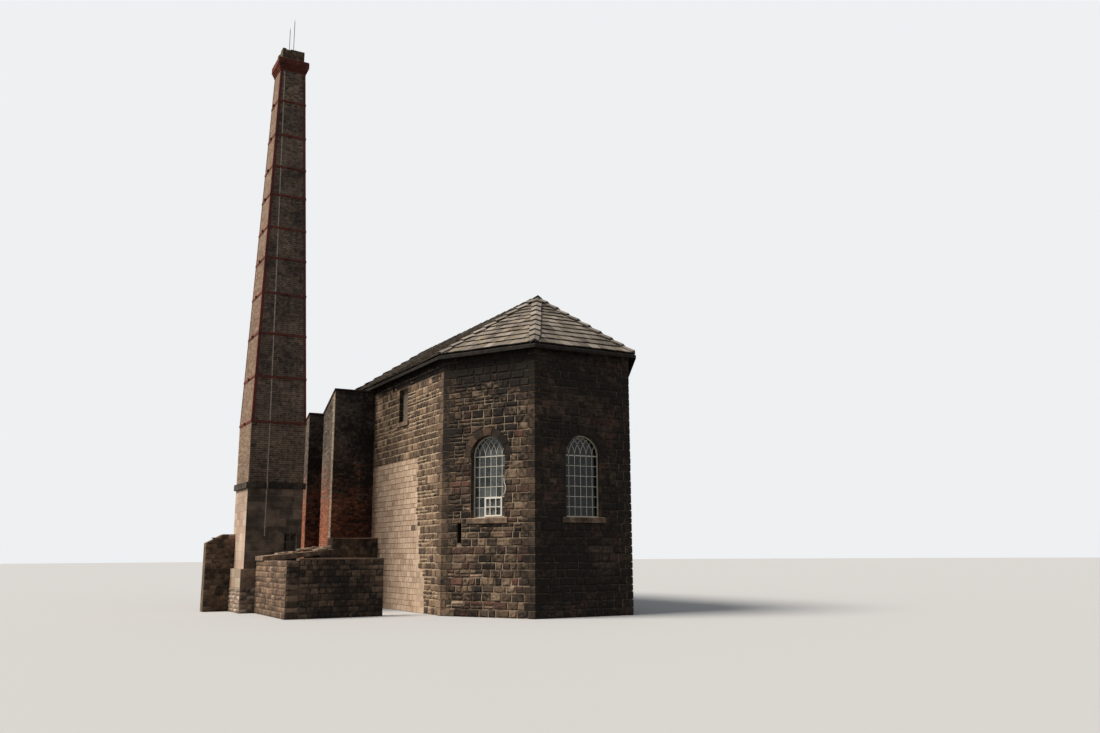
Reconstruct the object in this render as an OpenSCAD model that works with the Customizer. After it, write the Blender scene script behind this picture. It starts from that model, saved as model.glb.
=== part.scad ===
// Beam engine house of squared stone with half-hexagon ends and a hipped slate roof.
// A square tapered chimney, two brick piers and low yard walls stand on its left side.
// Millimetres, +Z up, +Y along the ridge; the origin is under the middle of the whole outline.

/* [House] */
// Half the width between the long walls' outer faces, also the radius of each half-hexagon end
house_half_w = 4000; // [3400:50:4600]
// Length of the straight side walls
side_len = 12800; // [12700:50:15000]
// Thickness of the house walls
wall_t = 600; // [450:10:750]

/* [Roof] */
// Height of the roof covering at the eaves line
eaves_z = 9510; // [9400:10:10100]
// Height of the ridge
ridge_z = 12290; // [11600:10:13000]
// Reach of the eaves beyond the wall face
eaves_out = 320; // [150:10:450]
// Depth of the roof covering, measured upright
roof_depth = 110; // [80:5:220]
// Upright thickness of the hip and ridge tiles
hip_tile_t = 90; // [40:5:140]
// Width of the rows of hip tiles, seen from above
hip_tile_w = 400; // [300:10:700]
// Width of the row of ridge tiles, seen from above
ridge_tile_w = 440; // [300:10:700]

/* [Arched windows] */
// Width of the arched openings
win_w = 1470; // [1100:10:1700]
// Height of the window sills' top
win_sill_z = 3460; // [3200:10:3800]
// Height where the round heads spring
win_spring_z = 5670; // [5000:10:6200]
// Depth of the arch stones, seen from the front
arch_h = 300; // [180:10:360]
// Depth that the arch stones reach into the wall
arch_in = 260; // [150:10:400]
// Length of the window sills
sill_w = 1760; // [1740:10:2000]
// Height of the window sills
sill_h = 200; // [120:10:280]
// Reach of the window sills beyond the wall face
sill_out = 70; // [20:5:120]
// Depth of the window sills inside the wall face
sill_in = 320; // [280:10:400]
// Fall of the sills' weathered top
sill_fall = 25; // [5:5:60]
// Depth from the wall face to the window frames
frame_in = 200; // [120:5:215]
// Width of the window frames' rim
frame_w = 45; // [25:5:80]
// Depth of the window frames
frame_d = 60; // [40:5:60]
// Thickness of the window glass
glass_t = 8; // [4:1:12]
// Left edge of the opening light, from the middle of the window
light_x = -240; // [-300:10:-100]
// Width of the opening light
light_w = 750; // [500:10:780]
// Height of the opening light
light_h = 690; // [400:10:900]
// Width of the opening light's bars
light_bar = 55; // [30:5:80]

/* [Upper windows] */
// Place of the upper windows along the side walls
upper_y = 4270; // [3500:10:6000]
// Width of the upper windows
upper_w = 1000; // [600:10:1200]
// Height of the upper windows
upper_h = 1380; // [800:10:1500]
// Height of the upper windows' sill
upper_z = 7590; // [7200:10:7800]
// Extra length of the upper sills at each end
upper_sill_lug = 160; // [80:10:240]
// Depth from the wall face to the boards that close the upper windows
board_in = 180; // [60:5:200]
// Thickness of the boards that close the upper windows
board_t = 50; // [25:5:80]

/* [Wall details] */
// Height of the floor's top
floor_z = 2700; // [2300:10:3000]
// Thickness of the floor
floor_t = 220; // [120:10:300]
// Place along the left wall where the smoother infill starts
infill_y = 2550; // [2000:10:3200]
// Height of the smoother infill
infill_z = 5950; // [5200:10:6900]
// Depth that the infill lies behind the rough wall face
infill_in = 25; // [10:5:50]
// Width of the slot in the front left wall
slot_w = 200; // [100:10:260]
// Height of the slot
slot_h = 720; // [400:10:900]
// Height of the slot's foot
slot_z = 2580; // [2000:10:2700]
// Distance of the slot from the wall's left corner
slot_x = 780; // [500:10:900]
// Depth of the slot
slot_d = 220; // [100:10:300]

/* [Brick piers] */
// Place of the near pier's front face along the house
pier_a_y = 7850; // [7400:10:8200]
// Length of the near pier along the house
pier_a_len = 1650; // [1500:10:2400]
// Reach of the near pier from the wall
pier_a_out = 1830; // [1400:10:2000]
// Drop from the eaves' underside to the near pier's top
pier_a_drop = 10; // [5:5:400]
// Fall of the near pier's top to the rear
pier_a_fall = 850; // [200:10:1100]
// Place of the far pier's front face along the house
pier_b_y = 11000; // [10800:10:11200]
// Length of the far pier along the house
pier_b_len = 1600; // [1000:10:1650]
// Reach of the far pier from the wall
pier_b_out = 2080; // [1600:10:2300]
// Height of the far pier at its front
pier_b_z = 8700; // [8400:10:9250]
// Fall of the far pier's top to the rear
pier_b_fall = 800; // [200:10:900]
// Thickness of the piers' coping slabs, measured upright
coping_t = 80; // [50:5:120]
// Reach of the coping slabs past the piers
coping_out = 40; // [10:5:70]
// Height of the ledge in front of the near pier
ledge_z = 2870; // [2300:10:3300]
// Depth of the ledge in front of the near pier
ledge_d = 850; // [500:10:1200]
// Reach of the ledge past the near pier's left side
ledge_side = 110; // [30:10:200]

/* [Chimney] */
// Distance of the chimney's middle from the house's middle line
chimney_x = 8690; // [8550:10:9100]
// Place of the chimney's middle along the house
chimney_y = 7020; // [6900:10:7600]
// Reach of the footing beyond the base
footing_out = 125; // [45:10:185]
// Height of the footing
footing_z = 1670; // [900:10:2000]
// Side of the stone base
base_w = 2200; // [2150:10:2400]
// Height of the stone base, to the underside of the string course
base_z = 4800; // [4300:10:5400]
// Height of the string course
string_h = 240; // [120:10:280]
// Reach of the string course beyond the base
string_out = 80; // [40:5:140]
// Distance that the brick shaft's foot stands back from the base's face
shaft_back = 5; // [5:5:40]
// Side of the brick shaft at its head
shaft_w1 = 1070; // [1000:10:1300]
// Height of the shaft's head
shaft_z = 23120; // [22400:20:24500]
// Side of the flue at the shaft's foot
flue_w0 = 1250; // [1000:10:1400]
// Side of the flue at the shaft's head
flue_w1 = 640; // [500:10:660]
// Height of each oversailing course of the cap
cap_step_h = 86; // [60:2:110]
// Reach of each oversailing course past the one below
cap_step_out = 32; // [16:1:50]
// Number of oversailing courses
cap_steps = 4; // [3:1:5]
// Height of the cap's upright band
cap_band_h = 200; // [120:10:300]
// Height of the cap's weathered top
cap_top_h = 110; // [60:5:160]
// Side of the parapet on the cap
parapet_w = 955; // [880:5:1040]
// Height of the parapet
parapet_h = 440; // [300:10:600]
// Depth of the gaps broken out of the parapet
parapet_gap = 150; // [60:5:200]

/* [Ironwork] */
// Thickness of the corner angles
angle_t = 12; // [10:1:16]
// Leg width of the corner angles
angle_w = 95; // [60:5:110]
// Height where the shaft starts to taper, and the corner angles and bands start
iron_z = 7420; // [7000:10:8200]
// Height of each band
band_h = 100; // [50:5:120]
// Thickness of the bands
band_t = 14; // [8:1:20]
// Width of the lightning conductor tape
tape_w = 40; // [25:5:60]
// Thickness of the lightning conductor tape
tape_t = 8; // [4:1:9]
// Gap between the tape and the left corner angle at the shaft's head
tape_gap = 55; // [20:5:90]
// Height of the tape's lower end
tape_z = 2930; // [2000:10:4000]
// Diameter of the lightning rods
rod_d = 28; // [16:2:40]
// Height of the lightning rods above the parapet
rod_h = 1520; // [1000:10:2000]
// Length of the rods' points
rod_tip = 120; // [60:10:200]
// Width of the soot opening in the base
soot_w = 510; // [300:10:560]
// Height of the soot opening
soot_h = 710; // [500:10:900]
// Height of the soot opening's foot
soot_z = 2340; // [2300:10:2600]
// Distance of the soot opening from the chimney's middle line, to the right
soot_x = 655; // [500:5:700]
// Width of the soot opening's frame bars
grate_bar = 55; // [30:5:70]
// Thickness of the soot opening's frame
grate_t = 40; // [20:5:60]
// Depth from the wall face to the soot opening's frame
grate_in = 60; // [30:5:120]

/* [Yard walls] */
// Distance of the yard's side wall from the house's middle line, at its outer face
yard_x = 9330; // [9250:10:9500]
// Thickness of the yard walls
yard_t = 450; // [350:10:600]
// Place of the yard's front wall face along the house
yard_y = 1150; // [500:10:2500]
// Distance of the front wall's free end from the house's middle line
yard_end_x = 5800; // [5300:10:6600]
// Height of the yard's side wall
yard_side_z = 1990; // [1600:10:2050]
// Height of the yard's front wall
yard_front_z = 2050; // [1600:10:2300]
// Distance of the flue wall from the house's middle line, at its face towards the house
flue_wall_x = 6700; // [6500:10:6900]
// Thickness of the flue wall
flue_wall_t = 450; // [350:10:600]
// Length of the flue wall and the slab over the flue
slab_len = 1250; // [900:10:1500]
// Height that the slab rises from the side wall to the flue wall
slab_rise = 250; // [100:10:300]
// Thickness of the slab over the flue
slab_t = 160; // [90:5:180]
// Reach of the slab past the walls that carry it
slab_out = 60; // [40:5:120]
// Reach of the stub wall to the left of the chimney
stub_len = 1000; // [700:10:1400]
// Thickness of the stub wall
stub_t = 500; // [400:10:600]
// Height of the stub wall at the chimney
stub_z = 3030; // [2400:10:3200]
// Fall of the stub wall's broken top
stub_fall = 350; // [200:10:700]
// Distance of the stub wall's rear face in front of the footing's rear face
stub_in = 20; // [10:10:1200]

/* [Hidden] */

// Reach of cutting shapes past what they cut
over = 50;
// A length beyond every part of the building
far = 60000;
// Facets of the round window heads
round_fn = 64;
// Share of the stub wall's length that keeps its full height
stub_level = 0.35;

// Each face of the house: direction of its outward normal, counted from +X.
face_angle = [0, 30, 90, 150, 180, 210, 270, 330];
// Names for the faces' numbers in that list
RIGHT = 0;
REAR_RIGHT = 1;
REAR = 2;
REAR_LEFT = 3;
LEFT = 4;
FRONT_LEFT = 5;
FRONT = 6;
FRONT_RIGHT = 7;
// Faces with an arched window
arched = [REAR_RIGHT, REAR, REAR_LEFT, FRONT_LEFT, FRONT, FRONT_RIGHT];
end_dist = house_half_w * cos(30);
function is_side(k) = k == RIGHT || k == LEFT;
function face_dist(k) = is_side(k) ? house_half_w : end_dist;
// The rear end is the front end mirrored about the middle of the side walls.
function centre_y(k) = k >= REAR_RIGHT && k <= REAR_LEFT ? side_len : 0;

// Roof slopes as rise over run
side_slope = (ridge_z - eaves_z) / (house_half_w + eaves_out);
end_slope = (ridge_z - eaves_z) / (end_dist + eaves_out);
function face_slope(k) = is_side(k) ? side_slope : end_slope;

// Point in plan where two lines meet, each given by its normal's angle and its distance.
function meet(a, da, b, db) = [
    (da * sin(b) - db * sin(a)) / sin(b - a),
    (db * cos(a) - da * cos(b)) / sin(b - a),
];
// Corner between face k and the next one, with the outline moved out by grow.
function corner(k, grow) =
    let (
        n = (k + 1) % 8,
        c = k <= REAR_LEFT ? side_len : 0,
        p = meet(face_angle[k], face_dist(k) + grow, face_angle[n], face_dist(n) + grow)
    )
    [p[0], p[1] + c];

front_top = [0, 0];
rear_top = [0, side_len];

// Depth from the wall face to the glass, which stands in the middle of the frames
glass_in = frame_in + (frame_d - glass_t) / 2;

// Height of the near pier at its front
pier_a_z = eaves_z - roof_depth - pier_a_drop;

// Chimney: half the shaft's side, upright up to the lowest band, and half the flue's side at a height
string_z = base_z + string_h;
shaft_w0 = base_w - 2 * shaft_back;
function shaft_half(z) =
    (shaft_w0 + (shaft_w1 - shaft_w0) * max(0, z - iron_z) / (shaft_z - iron_z)) / 2;
function flue_half(z) =
    (flue_w0 + (flue_w1 - flue_w0) * (z - string_z) / (shaft_z - string_z)) / 2;
cap_half = shaft_w1 / 2 + cap_steps * cap_step_out;
cap_band_z = shaft_z + cap_steps * cap_step_h;
cap_z = cap_band_z + cap_band_h + cap_top_h;
parapet_z = cap_z + parapet_h;
// Distance of the tape's middle from the chimney's middle line
tape_x = shaft_w1 / 2 - angle_w - tape_gap - tape_w / 2;
// Places of the iron bands, as shares of the height from the lowest band to the shaft's head
bands = [0, 0.118, 0.234, 0.345, 0.443, 0.529, 0.623, 0.706, 0.801, 0.903];
function band_z(share) = iron_z + share * (shaft_z - iron_z);
footing_half = base_w / 2 + footing_out;
footing_front_y = chimney_y - footing_half;

// The flue's cover slab rises evenly from the yard's side wall to the flue wall
slab_lean = slab_rise / (yard_x - yard_t - flue_wall_x);

// The whole outline, and the shift that puts its middle over the origin
outline_left = -(chimney_x + footing_half + stub_len);
outline_right = house_half_w + eaves_out;
outline_front = -(end_dist + eaves_out);
outline_rear = side_len + end_dist + eaves_out;
place = [-(outline_left + outline_right) / 2, -(outline_front + outline_rear) / 2, 0];

// Everything below the roof planes, moved up by rise: an upright wedge for each face, cut together.
module below_roof(rise) {
    translate([0, 0, rise])
        intersection_for (k = [0 : 7])
            translate([0, centre_y(k), 0])
                rotate([90, 0, face_angle[k]])
                    linear_extrude(2 * far, center = true)
                        polygon([
                            [-far, -far],
                            [-far, ridge_z + face_slope(k) * far],
                            [(ridge_z + far) / face_slope(k), -far],
                        ]);
}

// A layer that follows the roof over a shape in plan, from low to high above the roof planes.
module roof_layer(low, high) {
    difference() {
        intersection() {
            linear_extrude(ridge_z + over + high) children();
            below_roof(high);
        }
        below_roof(low);
    }
}

// Puts children on a face of the house: x runs along it, y into the wall, with its middle at zero.
module on_face(k) {
    translate([0, centre_y(k), 0])
        rotate([0, 0, face_angle[k] + 90])
            translate([0, -face_dist(k), 0])
                children();
}

// The same on a long wall, at a distance behind the front end's centre.
module on_side(k, y) {
    on_face(k) translate([k == LEFT ? -y : y, 0, 0]) children();
}

// Extrudes an upright outline into the wall, between two depths.
module into(from, to) {
    translate([0, to, 0])
        rotate([90, 0, 0])
            linear_extrude(to - from)
                children();
}

// Outline of the arched opening, drawn smaller by inset.
module arched_outline(inset) {
    translate([-win_w / 2 + inset, win_sill_z + inset])
        square([win_w - 2 * inset, win_spring_z - win_sill_z - inset]);
    translate([0, win_spring_z])
        circle(r = win_w / 2 - inset, $fn = round_fn);
}

// Upper half of a ring round the window head.
module arch_outline() {
    intersection() {
        translate([0, win_spring_z]) difference() {
            circle(r = win_w / 2 + arch_h, $fn = round_fn);
            circle(r = win_w / 2, $fn = round_fn);
        }
        translate([-win_w, win_spring_z]) square([2 * win_w, win_w]);
    }
}

// A sill with a weathered top, across x, with its upper edge at z.
module sill(w, z, deep) {
    translate([-w / 2, 0, z])
        rotate([90, 0, 90])
            linear_extrude(w)
                polygon([[-sill_out, -sill_h], [deep, -sill_h], [deep, 0], [0, 0], [-sill_out, -sill_fall]]);
}

module sill_pocket(w, z, deep) {
    translate([-w / 2, -over, z - sill_h]) cube([w, deep + over, sill_h]);
}

module arched_cuts() {
    into(-over, wall_t + over) arched_outline(0);
    into(-over, arch_in) arch_outline();
    sill_pocket(sill_w, win_sill_z, sill_in);
}

module upper_cuts() {
    translate([-upper_w / 2, -over, upper_z]) cube([upper_w, wall_t + 2 * over, upper_h]);
    sill_pocket(upper_w + 2 * upper_sill_lug, upper_z, board_in + board_t);
}

// One wall of the house, mitred at both ends and cut to the slope of the roof.
module wall(k) {
    before = (k + 7) % 8;
    intersection() {
        linear_extrude(ridge_z)
            polygon([corner(before, 0), corner(k, 0), corner(k, -wall_t), corner(before, -wall_t)]);
        below_roof(-roof_depth);
    }
}

module end_wall(k) {
    color("saddlebrown") difference() {
        wall(k);
        on_face(k) arched_cuts();
        children();
    }
}

module front_wall_left() {
    half_face = house_half_w / 2;
    end_wall(FRONT_LEFT)
        on_face(FRONT_LEFT)
            translate([slot_x - half_face - slot_w / 2, -over, slot_z])
                cube([slot_w, slot_d + over, slot_h]);
}

module front_wall_middle() {
    end_wall(FRONT);
}

module front_wall_right() {
    end_wall(FRONT_RIGHT);
}

module rear_wall_left() {
    end_wall(REAR_LEFT);
}

module rear_wall_middle() {
    end_wall(REAR);
}

module rear_wall_right() {
    end_wall(REAR_RIGHT);
}

module side_wall_left() {
    color("tan") difference() {
        wall(LEFT);
        on_side(LEFT, upper_y) upper_cuts();
        on_side(LEFT, pier_a_y)
            translate([0, -over, -over])
                cube([pier_a_y - infill_y, infill_in + over, infill_z + over]);
    }
}

module side_wall_right() {
    color("tan") difference() {
        wall(RIGHT);
        on_side(RIGHT, upper_y) upper_cuts();
    }
}

module window_arches() {
    color("rosybrown") for (k = arched) on_face(k) into(0, arch_in) arch_outline();
}

module window_sills() {
    color("rosybrown") for (k = arched) on_face(k) sill(sill_w, win_sill_z, sill_in);
}

module window_frames() {
    color("white") for (k = arched) on_face(k) into(frame_in, frame_in + frame_d) difference() {
        arched_outline(0);
        arched_outline(frame_w);
    }
}

module window_glass() {
    color("lightsteelblue", 0.5) for (k = arched)
        on_face(k) into(glass_in, glass_in + glass_t) arched_outline(frame_w);
}

// A hopper light that stands in front of the glass, on the frame's lower rim.
module opening_light() {
    light_d = glass_in - frame_in + light_bar / 2;
    color("white") on_face(FRONT_LEFT)
        into(glass_in - light_d, glass_in) translate([light_x, win_sill_z + frame_w]) difference() {
            square([light_w, light_h]);
            translate([light_bar, light_bar]) square([light_w - 2 * light_bar, light_h - 2 * light_bar]);
        }
}

module upper_sills() {
    color("rosybrown") for (k = [LEFT, RIGHT])
        on_side(k, upper_y) sill(upper_w + 2 * upper_sill_lug, upper_z, board_in + board_t);
}

module upper_boards() {
    color("gainsboro") for (k = [LEFT, RIGHT])
        on_side(k, upper_y)
            translate([-upper_w / 2, board_in, upper_z])
                cube([upper_w, board_t, upper_h]);
}

module floor() {
    color("dimgray") translate([0, 0, floor_z - floor_t])
        linear_extrude(floor_t)
            polygon([for (k = [0 : 7]) corner(k, -wall_t)]);
}

module roof_left() {
    color("darkkhaki") roof_layer(-roof_depth, 0)
        polygon([corner(REAR_LEFT, eaves_out), corner(LEFT, eaves_out), front_top, rear_top]);
}

module roof_right() {
    color("darkkhaki") roof_layer(-roof_depth, 0)
        polygon([corner(FRONT_RIGHT, eaves_out), corner(RIGHT, eaves_out), rear_top, front_top]);
}

module roof_front_end() {
    color("darkkhaki") roof_layer(-roof_depth, 0)
        polygon(concat([front_top], [for (k = [LEFT : FRONT_RIGHT]) corner(k, eaves_out)]));
}

module roof_rear_end() {
    color("darkkhaki") roof_layer(-roof_depth, 0)
        polygon(concat([rear_top], [for (k = [RIGHT : REAR_LEFT]) corner(k, eaves_out)]));
}

// A strip in plan from the end of the ridge to a corner of the eaves.
module hip_strip(top, foot) {
    run = foot - top;
    translate(top)
        rotate(atan2(run[1], run[0]))
            translate([0, -hip_tile_w / 2])
                square([norm(run) + hip_tile_w, hip_tile_w]);
}

module hip_plan(top, corners) {
    intersection() {
        polygon([for (k = [0 : 7]) corner(k, eaves_out)]);
        union() {
            for (k = corners) hip_strip(top, corner(k, eaves_out));
            translate(top) circle(d = hip_tile_w, $fn = 12);
        }
    }
}

module hip_tiles_front() {
    color("silver") roof_layer(0, hip_tile_t) hip_plan(front_top, [LEFT : FRONT_RIGHT]);
}

module hip_tiles_rear() {
    color("silver") roof_layer(0, hip_tile_t) hip_plan(rear_top, [RIGHT : REAR_LEFT]);
}

module ridge_tiles() {
    color("silver") roof_layer(0, hip_tile_t) difference() {
        translate([-ridge_tile_w / 2, 0]) square([ridge_tile_w, side_len]);
        hip_plan(front_top, [LEFT : FRONT_RIGHT]);
        hip_plan(rear_top, [RIGHT : REAR_LEFT]);
    }
}

// Extrudes an outline of [place along the house, height] to the left from the left wall's face.
module left_of_wall(reach) {
    translate([-house_half_w, 0, 0])
        rotate([90, 0, -90])
            mirror([1, 0, 0])
                linear_extrude(reach)
                    children();
}

// A pier's side outline: upright front, and a top that falls to the rear.
function pier_outline(y, len, z, fall) =
    [[y, 0], [y + len, 0], [y + len, z - fall], [y, z]];

module brick_pier_near() {
    color("sienna") left_of_wall(pier_a_out)
        polygon(pier_outline(pier_a_y, pier_a_len, pier_a_z - coping_t, pier_a_fall));
}

module brick_pier_far() {
    color("sienna") left_of_wall(pier_b_out)
        polygon(pier_outline(pier_b_y, pier_b_len, pier_b_z - coping_t, pier_b_fall));
}

// A slab that follows a pier's top and oversails its three open sides.
module coping(y, len, z, fall, reach) {
    lean = fall / len;
    left_of_wall(reach + coping_out)
        polygon([
            [y - coping_out, z - coping_t + coping_out * lean],
            [y + len + coping_out, z - coping_t - fall - coping_out * lean],
            [y + len + coping_out, z - fall - coping_out * lean],
            [y, z],
            [y - coping_out, z],
        ]);
}

module pier_copings() {
    color("dimgray") {
        coping(pier_a_y, pier_a_len, pier_a_z, pier_a_fall, pier_a_out);
        coping(pier_b_y, pier_b_len, pier_b_z, pier_b_fall, pier_b_out);
    }
}

// The ledge reaches to the bottom of the infill's recess, so that it touches the wall.
module pier_ledge() {
    color("rosybrown") translate([-house_half_w - pier_a_out - ledge_side, pier_a_y - ledge_d, 0])
        cube([ledge_side + pier_a_out + infill_in, ledge_d, ledge_z]);
}

// Puts children at the chimney's middle.
module at_chimney() {
    translate([-chimney_x, chimney_y, 0]) children();
}

module block(side, z0, z1) {
    translate([-side / 2, -side / 2, z0]) cube([side, side, z1 - z0]);
}

// A square tower from its half profile, a list of [half side, height] from foot to head.
module square_tower(profile) {
    outline = concat(profile, [for (i = [len(profile) - 1 : -1 : 0]) [-profile[i][0], profile[i][1]]]);
    reach = 4 * max([for (p = profile) p[0]]);
    intersection() {
        rotate([90, 0, 0]) linear_extrude(reach, center = true) polygon(outline);
        rotate([90, 0, 90]) linear_extrude(reach, center = true) polygon(outline);
    }
}

// The shaft's outer form between two heights, grown by a thickness.
module shaft_form(grow, z0, z1) {
    heights = z0 < iron_z && iron_z < z1 ? [z0, iron_z, z1] : [z0, z1];
    square_tower([for (z = heights) [shaft_half(z) + grow, z]]);
}

module chimney_footing() {
    color("gray") at_chimney() block(2 * footing_half, 0, footing_z);
}

module chimney_base() {
    color("rosybrown") at_chimney() difference() {
        block(base_w, footing_z, base_z);
        block(flue_w0, footing_z - over, base_z + over);
        translate([soot_x - soot_w / 2, -base_w / 2 - over, soot_z])
            cube([soot_w, (base_w - flue_w0) / 2 + 2 * over, soot_h]);
    }
}

module string_course() {
    color("dimgray") at_chimney() difference() {
        block(base_w + 2 * string_out, base_z, string_z);
        block(flue_w0, base_z - over, string_z + over);
    }
}

module chimney_shaft() {
    color("saddlebrown") at_chimney() difference() {
        shaft_form(0, string_z, shaft_z);
        square_tower([
            [flue_half(string_z - over), string_z - over],
            [flue_half(shaft_z + over), shaft_z + over],
        ]);
    }
}

// A wedge right across the shaft that leaves only its corners, angle_w wide.
module between_angles() {
    side = [for (z = [iron_z - over, iron_z, shaft_z + over]) [shaft_half(z) - angle_w, z]];
    other = [for (i = [len(side) - 1 : -1 : 0]) [-side[i][0], side[i][1]]];
    rotate([90, 0, 0]) linear_extrude(2 * shaft_w0, center = true) polygon(concat(side, other));
}

module corner_angles() {
    color("firebrick") at_chimney() difference() {
        shaft_form(angle_t, iron_z, shaft_z);
        shaft_form(0, iron_z - over, shaft_z + over);
        between_angles();
        rotate([0, 0, 90]) between_angles();
    }
}

// Flat bars round the shaft, bolted over the corner angles.
module chimney_bands() {
    color("firebrick") at_chimney() for (share = bands) let (z = band_z(share)) difference() {
        shaft_form(angle_t + band_t, z, z + band_h);
        shaft_form(angle_t, z - over, z + band_h + over);
    }
}

// Oversailing courses, an upright band and a weathered top, round the open flue.
module chimney_cap() {
    steps = [for (i = [0 : cap_steps - 1]) each let (half = shaft_w1 / 2 + (i + 1) * cap_step_out) [
        [half, shaft_z + i * cap_step_h],
        [half, shaft_z + (i + 1) * cap_step_h],
    ]];
    top = [[cap_half, cap_band_z + cap_band_h], [parapet_w / 2, cap_z]];
    color("firebrick") at_chimney() difference() {
        square_tower(concat(steps, top));
        block(flue_w1, shaft_z - over, cap_z + over);
    }
}

// A thin wall round the flue, with gaps where courses have fallen.
module chimney_parapet() {
    // Each gap: turn about the flue, place along that side, width and depth as shares
    gaps = [[0, -0.24, 0.2, 0.3], [90, 0.1, 0.36, 0.6], [180, -0.25, 0.22, 1], [270, -0.08, 0.34, 0.5]];
    color("darkslategray") at_chimney() difference() {
        block(parapet_w, cap_z, parapet_z);
        block(flue_w1, cap_z - over, parapet_z + over);
        for (g = gaps)
            rotate([0, 0, g[0]])
                translate([(g[1] - g[2] / 2) * parapet_w, -parapet_w, parapet_z - g[3] * parapet_gap])
                    cube([g[2] * parapet_w, parapet_w, parapet_gap + over]);
    }
}

// One rod on the middle of the parapet's front side and one on its rear side.
module lightning_rods() {
    inset = (parapet_w + flue_w1) / 4;
    color("dimgray") at_chimney() for (side = [-1, 1])
        translate([0, side * inset, parapet_z]) {
            cylinder(d = rod_d, h = rod_h - rod_tip, $fn = 24);
            translate([0, 0, rod_h - rod_tip]) cylinder(d1 = rod_d, d2 = rod_d / 5, h = rod_tip, $fn = 24);
        }
}

// Flat tape down the front face, bent round the string course.
module lightning_tape() {
    base_half = base_w / 2;
    string_half = base_half + string_out;
    face = [
        [-shaft_half(shaft_z), shaft_z],
        [-shaft_half(iron_z), iron_z],
        [-shaft_half(string_z), string_z],
        [-string_half, string_z],
        [-string_half, base_z],
        [-base_half, base_z],
        [-base_half, tape_z],
    ];
    skin = [
        [-base_half - tape_t, tape_z],
        [-base_half - tape_t, base_z - tape_t],
        [-string_half - tape_t, base_z - tape_t],
        [-string_half - tape_t, string_z + tape_t],
        [-shaft_half(string_z) - tape_t, string_z + tape_t],
        [-shaft_half(iron_z) - tape_t, iron_z],
        [-shaft_half(shaft_z) - tape_t, shaft_z],
    ];
    color("peru") at_chimney() translate([-tape_x - tape_w / 2, 0, 0])
        rotate([90, 0, 90])
            linear_extrude(tape_w)
                polygon(concat(face, skin));
}

module soot_grate() {
    color("black") at_chimney()
        translate([soot_x, -base_w / 2, 0])
            into(grate_in, grate_in + grate_t)
                translate([0, soot_z + soot_h / 2]) {
                    difference() {
                        square([soot_w, soot_h], center = true);
                        square([soot_w - 2 * grate_bar, soot_h - 2 * grate_bar], center = true);
                    }
                    square([grate_bar, soot_h], center = true);
                    square([soot_w, grate_bar], center = true);
                }
}

module yard_side_wall() {
    color("rosybrown") translate([-yard_x, yard_y, 0])
        cube([yard_t, footing_front_y - yard_y, yard_side_z]);
}

module yard_front_wall() {
    color("gray") translate([-yard_x + yard_t, yard_y, 0])
        cube([yard_x - yard_t - yard_end_x, yard_t, yard_front_z]);
}

// The side of the flue that leads to the chimney's foot, with a top cut to the slab's slope.
module flue_wall() {
    low = yard_side_z + slab_rise - slab_lean * flue_wall_t;
    color("rosybrown") translate([-flue_wall_x - flue_wall_t, footing_front_y, 0])
        rotate([90, 0, 0])
            linear_extrude(slab_len)
                polygon([
                    [0, 0],
                    [flue_wall_t, 0],
                    [flue_wall_t, low + slab_lean * flue_wall_t],
                    [0, low],
                ]);
}

// A stone slab over the flue, tilted: its low side lies on the yard's side wall.
module flue_slab() {
    right = -flue_wall_x + slab_out;
    left = -yard_x + yard_t;
    rise = slab_lean * (right - left);
    color("rosybrown") translate([0, footing_front_y, 0])
        rotate([90, 0, 0])
            linear_extrude(slab_len)
                polygon([
                    [left, yard_side_z],
                    [right, yard_side_z + rise],
                    [right, yard_side_z + rise + slab_t],
                    [-yard_x - slab_out, yard_side_z + slab_t],
                    [-yard_x - slab_out, yard_side_z],
                ]);
}

// A broken wall that runs on to the left of the chimney.
module stub_wall() {
    right = -chimney_x - footing_half;
    // Above the footing the wall runs on to the chimney's base
    base_left = -chimney_x - base_w / 2;
    left = outline_left;
    color("rosybrown") translate([0, chimney_y + footing_half - stub_in, 0])
        rotate([90, 0, 0])
            linear_extrude(stub_t)
                polygon([
                    [left, 0],
                    [right, 0],
                    [right, footing_z],
                    [base_left, footing_z],
                    [base_left, stub_z],
                    [right - stub_level * stub_len, stub_z],
                    [left, stub_z - stub_fall],
                ]);
}

translate(place) front_wall_left();
translate(place) front_wall_middle();
translate(place) front_wall_right();
translate(place) side_wall_left();
translate(place) side_wall_right();
translate(place) rear_wall_left();
translate(place) rear_wall_middle();
translate(place) rear_wall_right();
translate(place) window_arches();
translate(place) window_sills();
translate(place) window_frames();
translate(place) window_glass();
translate(place) opening_light();
translate(place) upper_sills();
translate(place) upper_boards();
translate(place) floor();
translate(place) roof_left();
translate(place) roof_right();
translate(place) roof_front_end();
translate(place) roof_rear_end();
translate(place) hip_tiles_front();
translate(place) hip_tiles_rear();
translate(place) ridge_tiles();
translate(place) brick_pier_near();
translate(place) brick_pier_far();
translate(place) pier_copings();
translate(place) pier_ledge();
translate(place) chimney_footing();
translate(place) chimney_base();
translate(place) string_course();
translate(place) chimney_shaft();
translate(place) corner_angles();
translate(place) chimney_bands();
translate(place) chimney_cap();
translate(place) chimney_parapet();
translate(place) lightning_rods();
translate(place) lightning_tape();
translate(place) soot_grate();
translate(place) yard_side_wall();
translate(place) yard_front_wall();
translate(place) flue_wall();
translate(place) flue_slab();
translate(place) stub_wall();
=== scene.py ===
"""Beam engine house of squared stone with its tall brick chimney, dressed with stones, slates and ironwork.

Lengths are metres in the CAD frame. The house's own lines are counted from under the front end's ridge point,
and HouseForm.place moves them into that frame.
"""
import logging
import math
import random
from dataclasses import dataclass, field
from enum import Enum
from functools import partial
from typing import Callable, Iterable, Sequence

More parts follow.
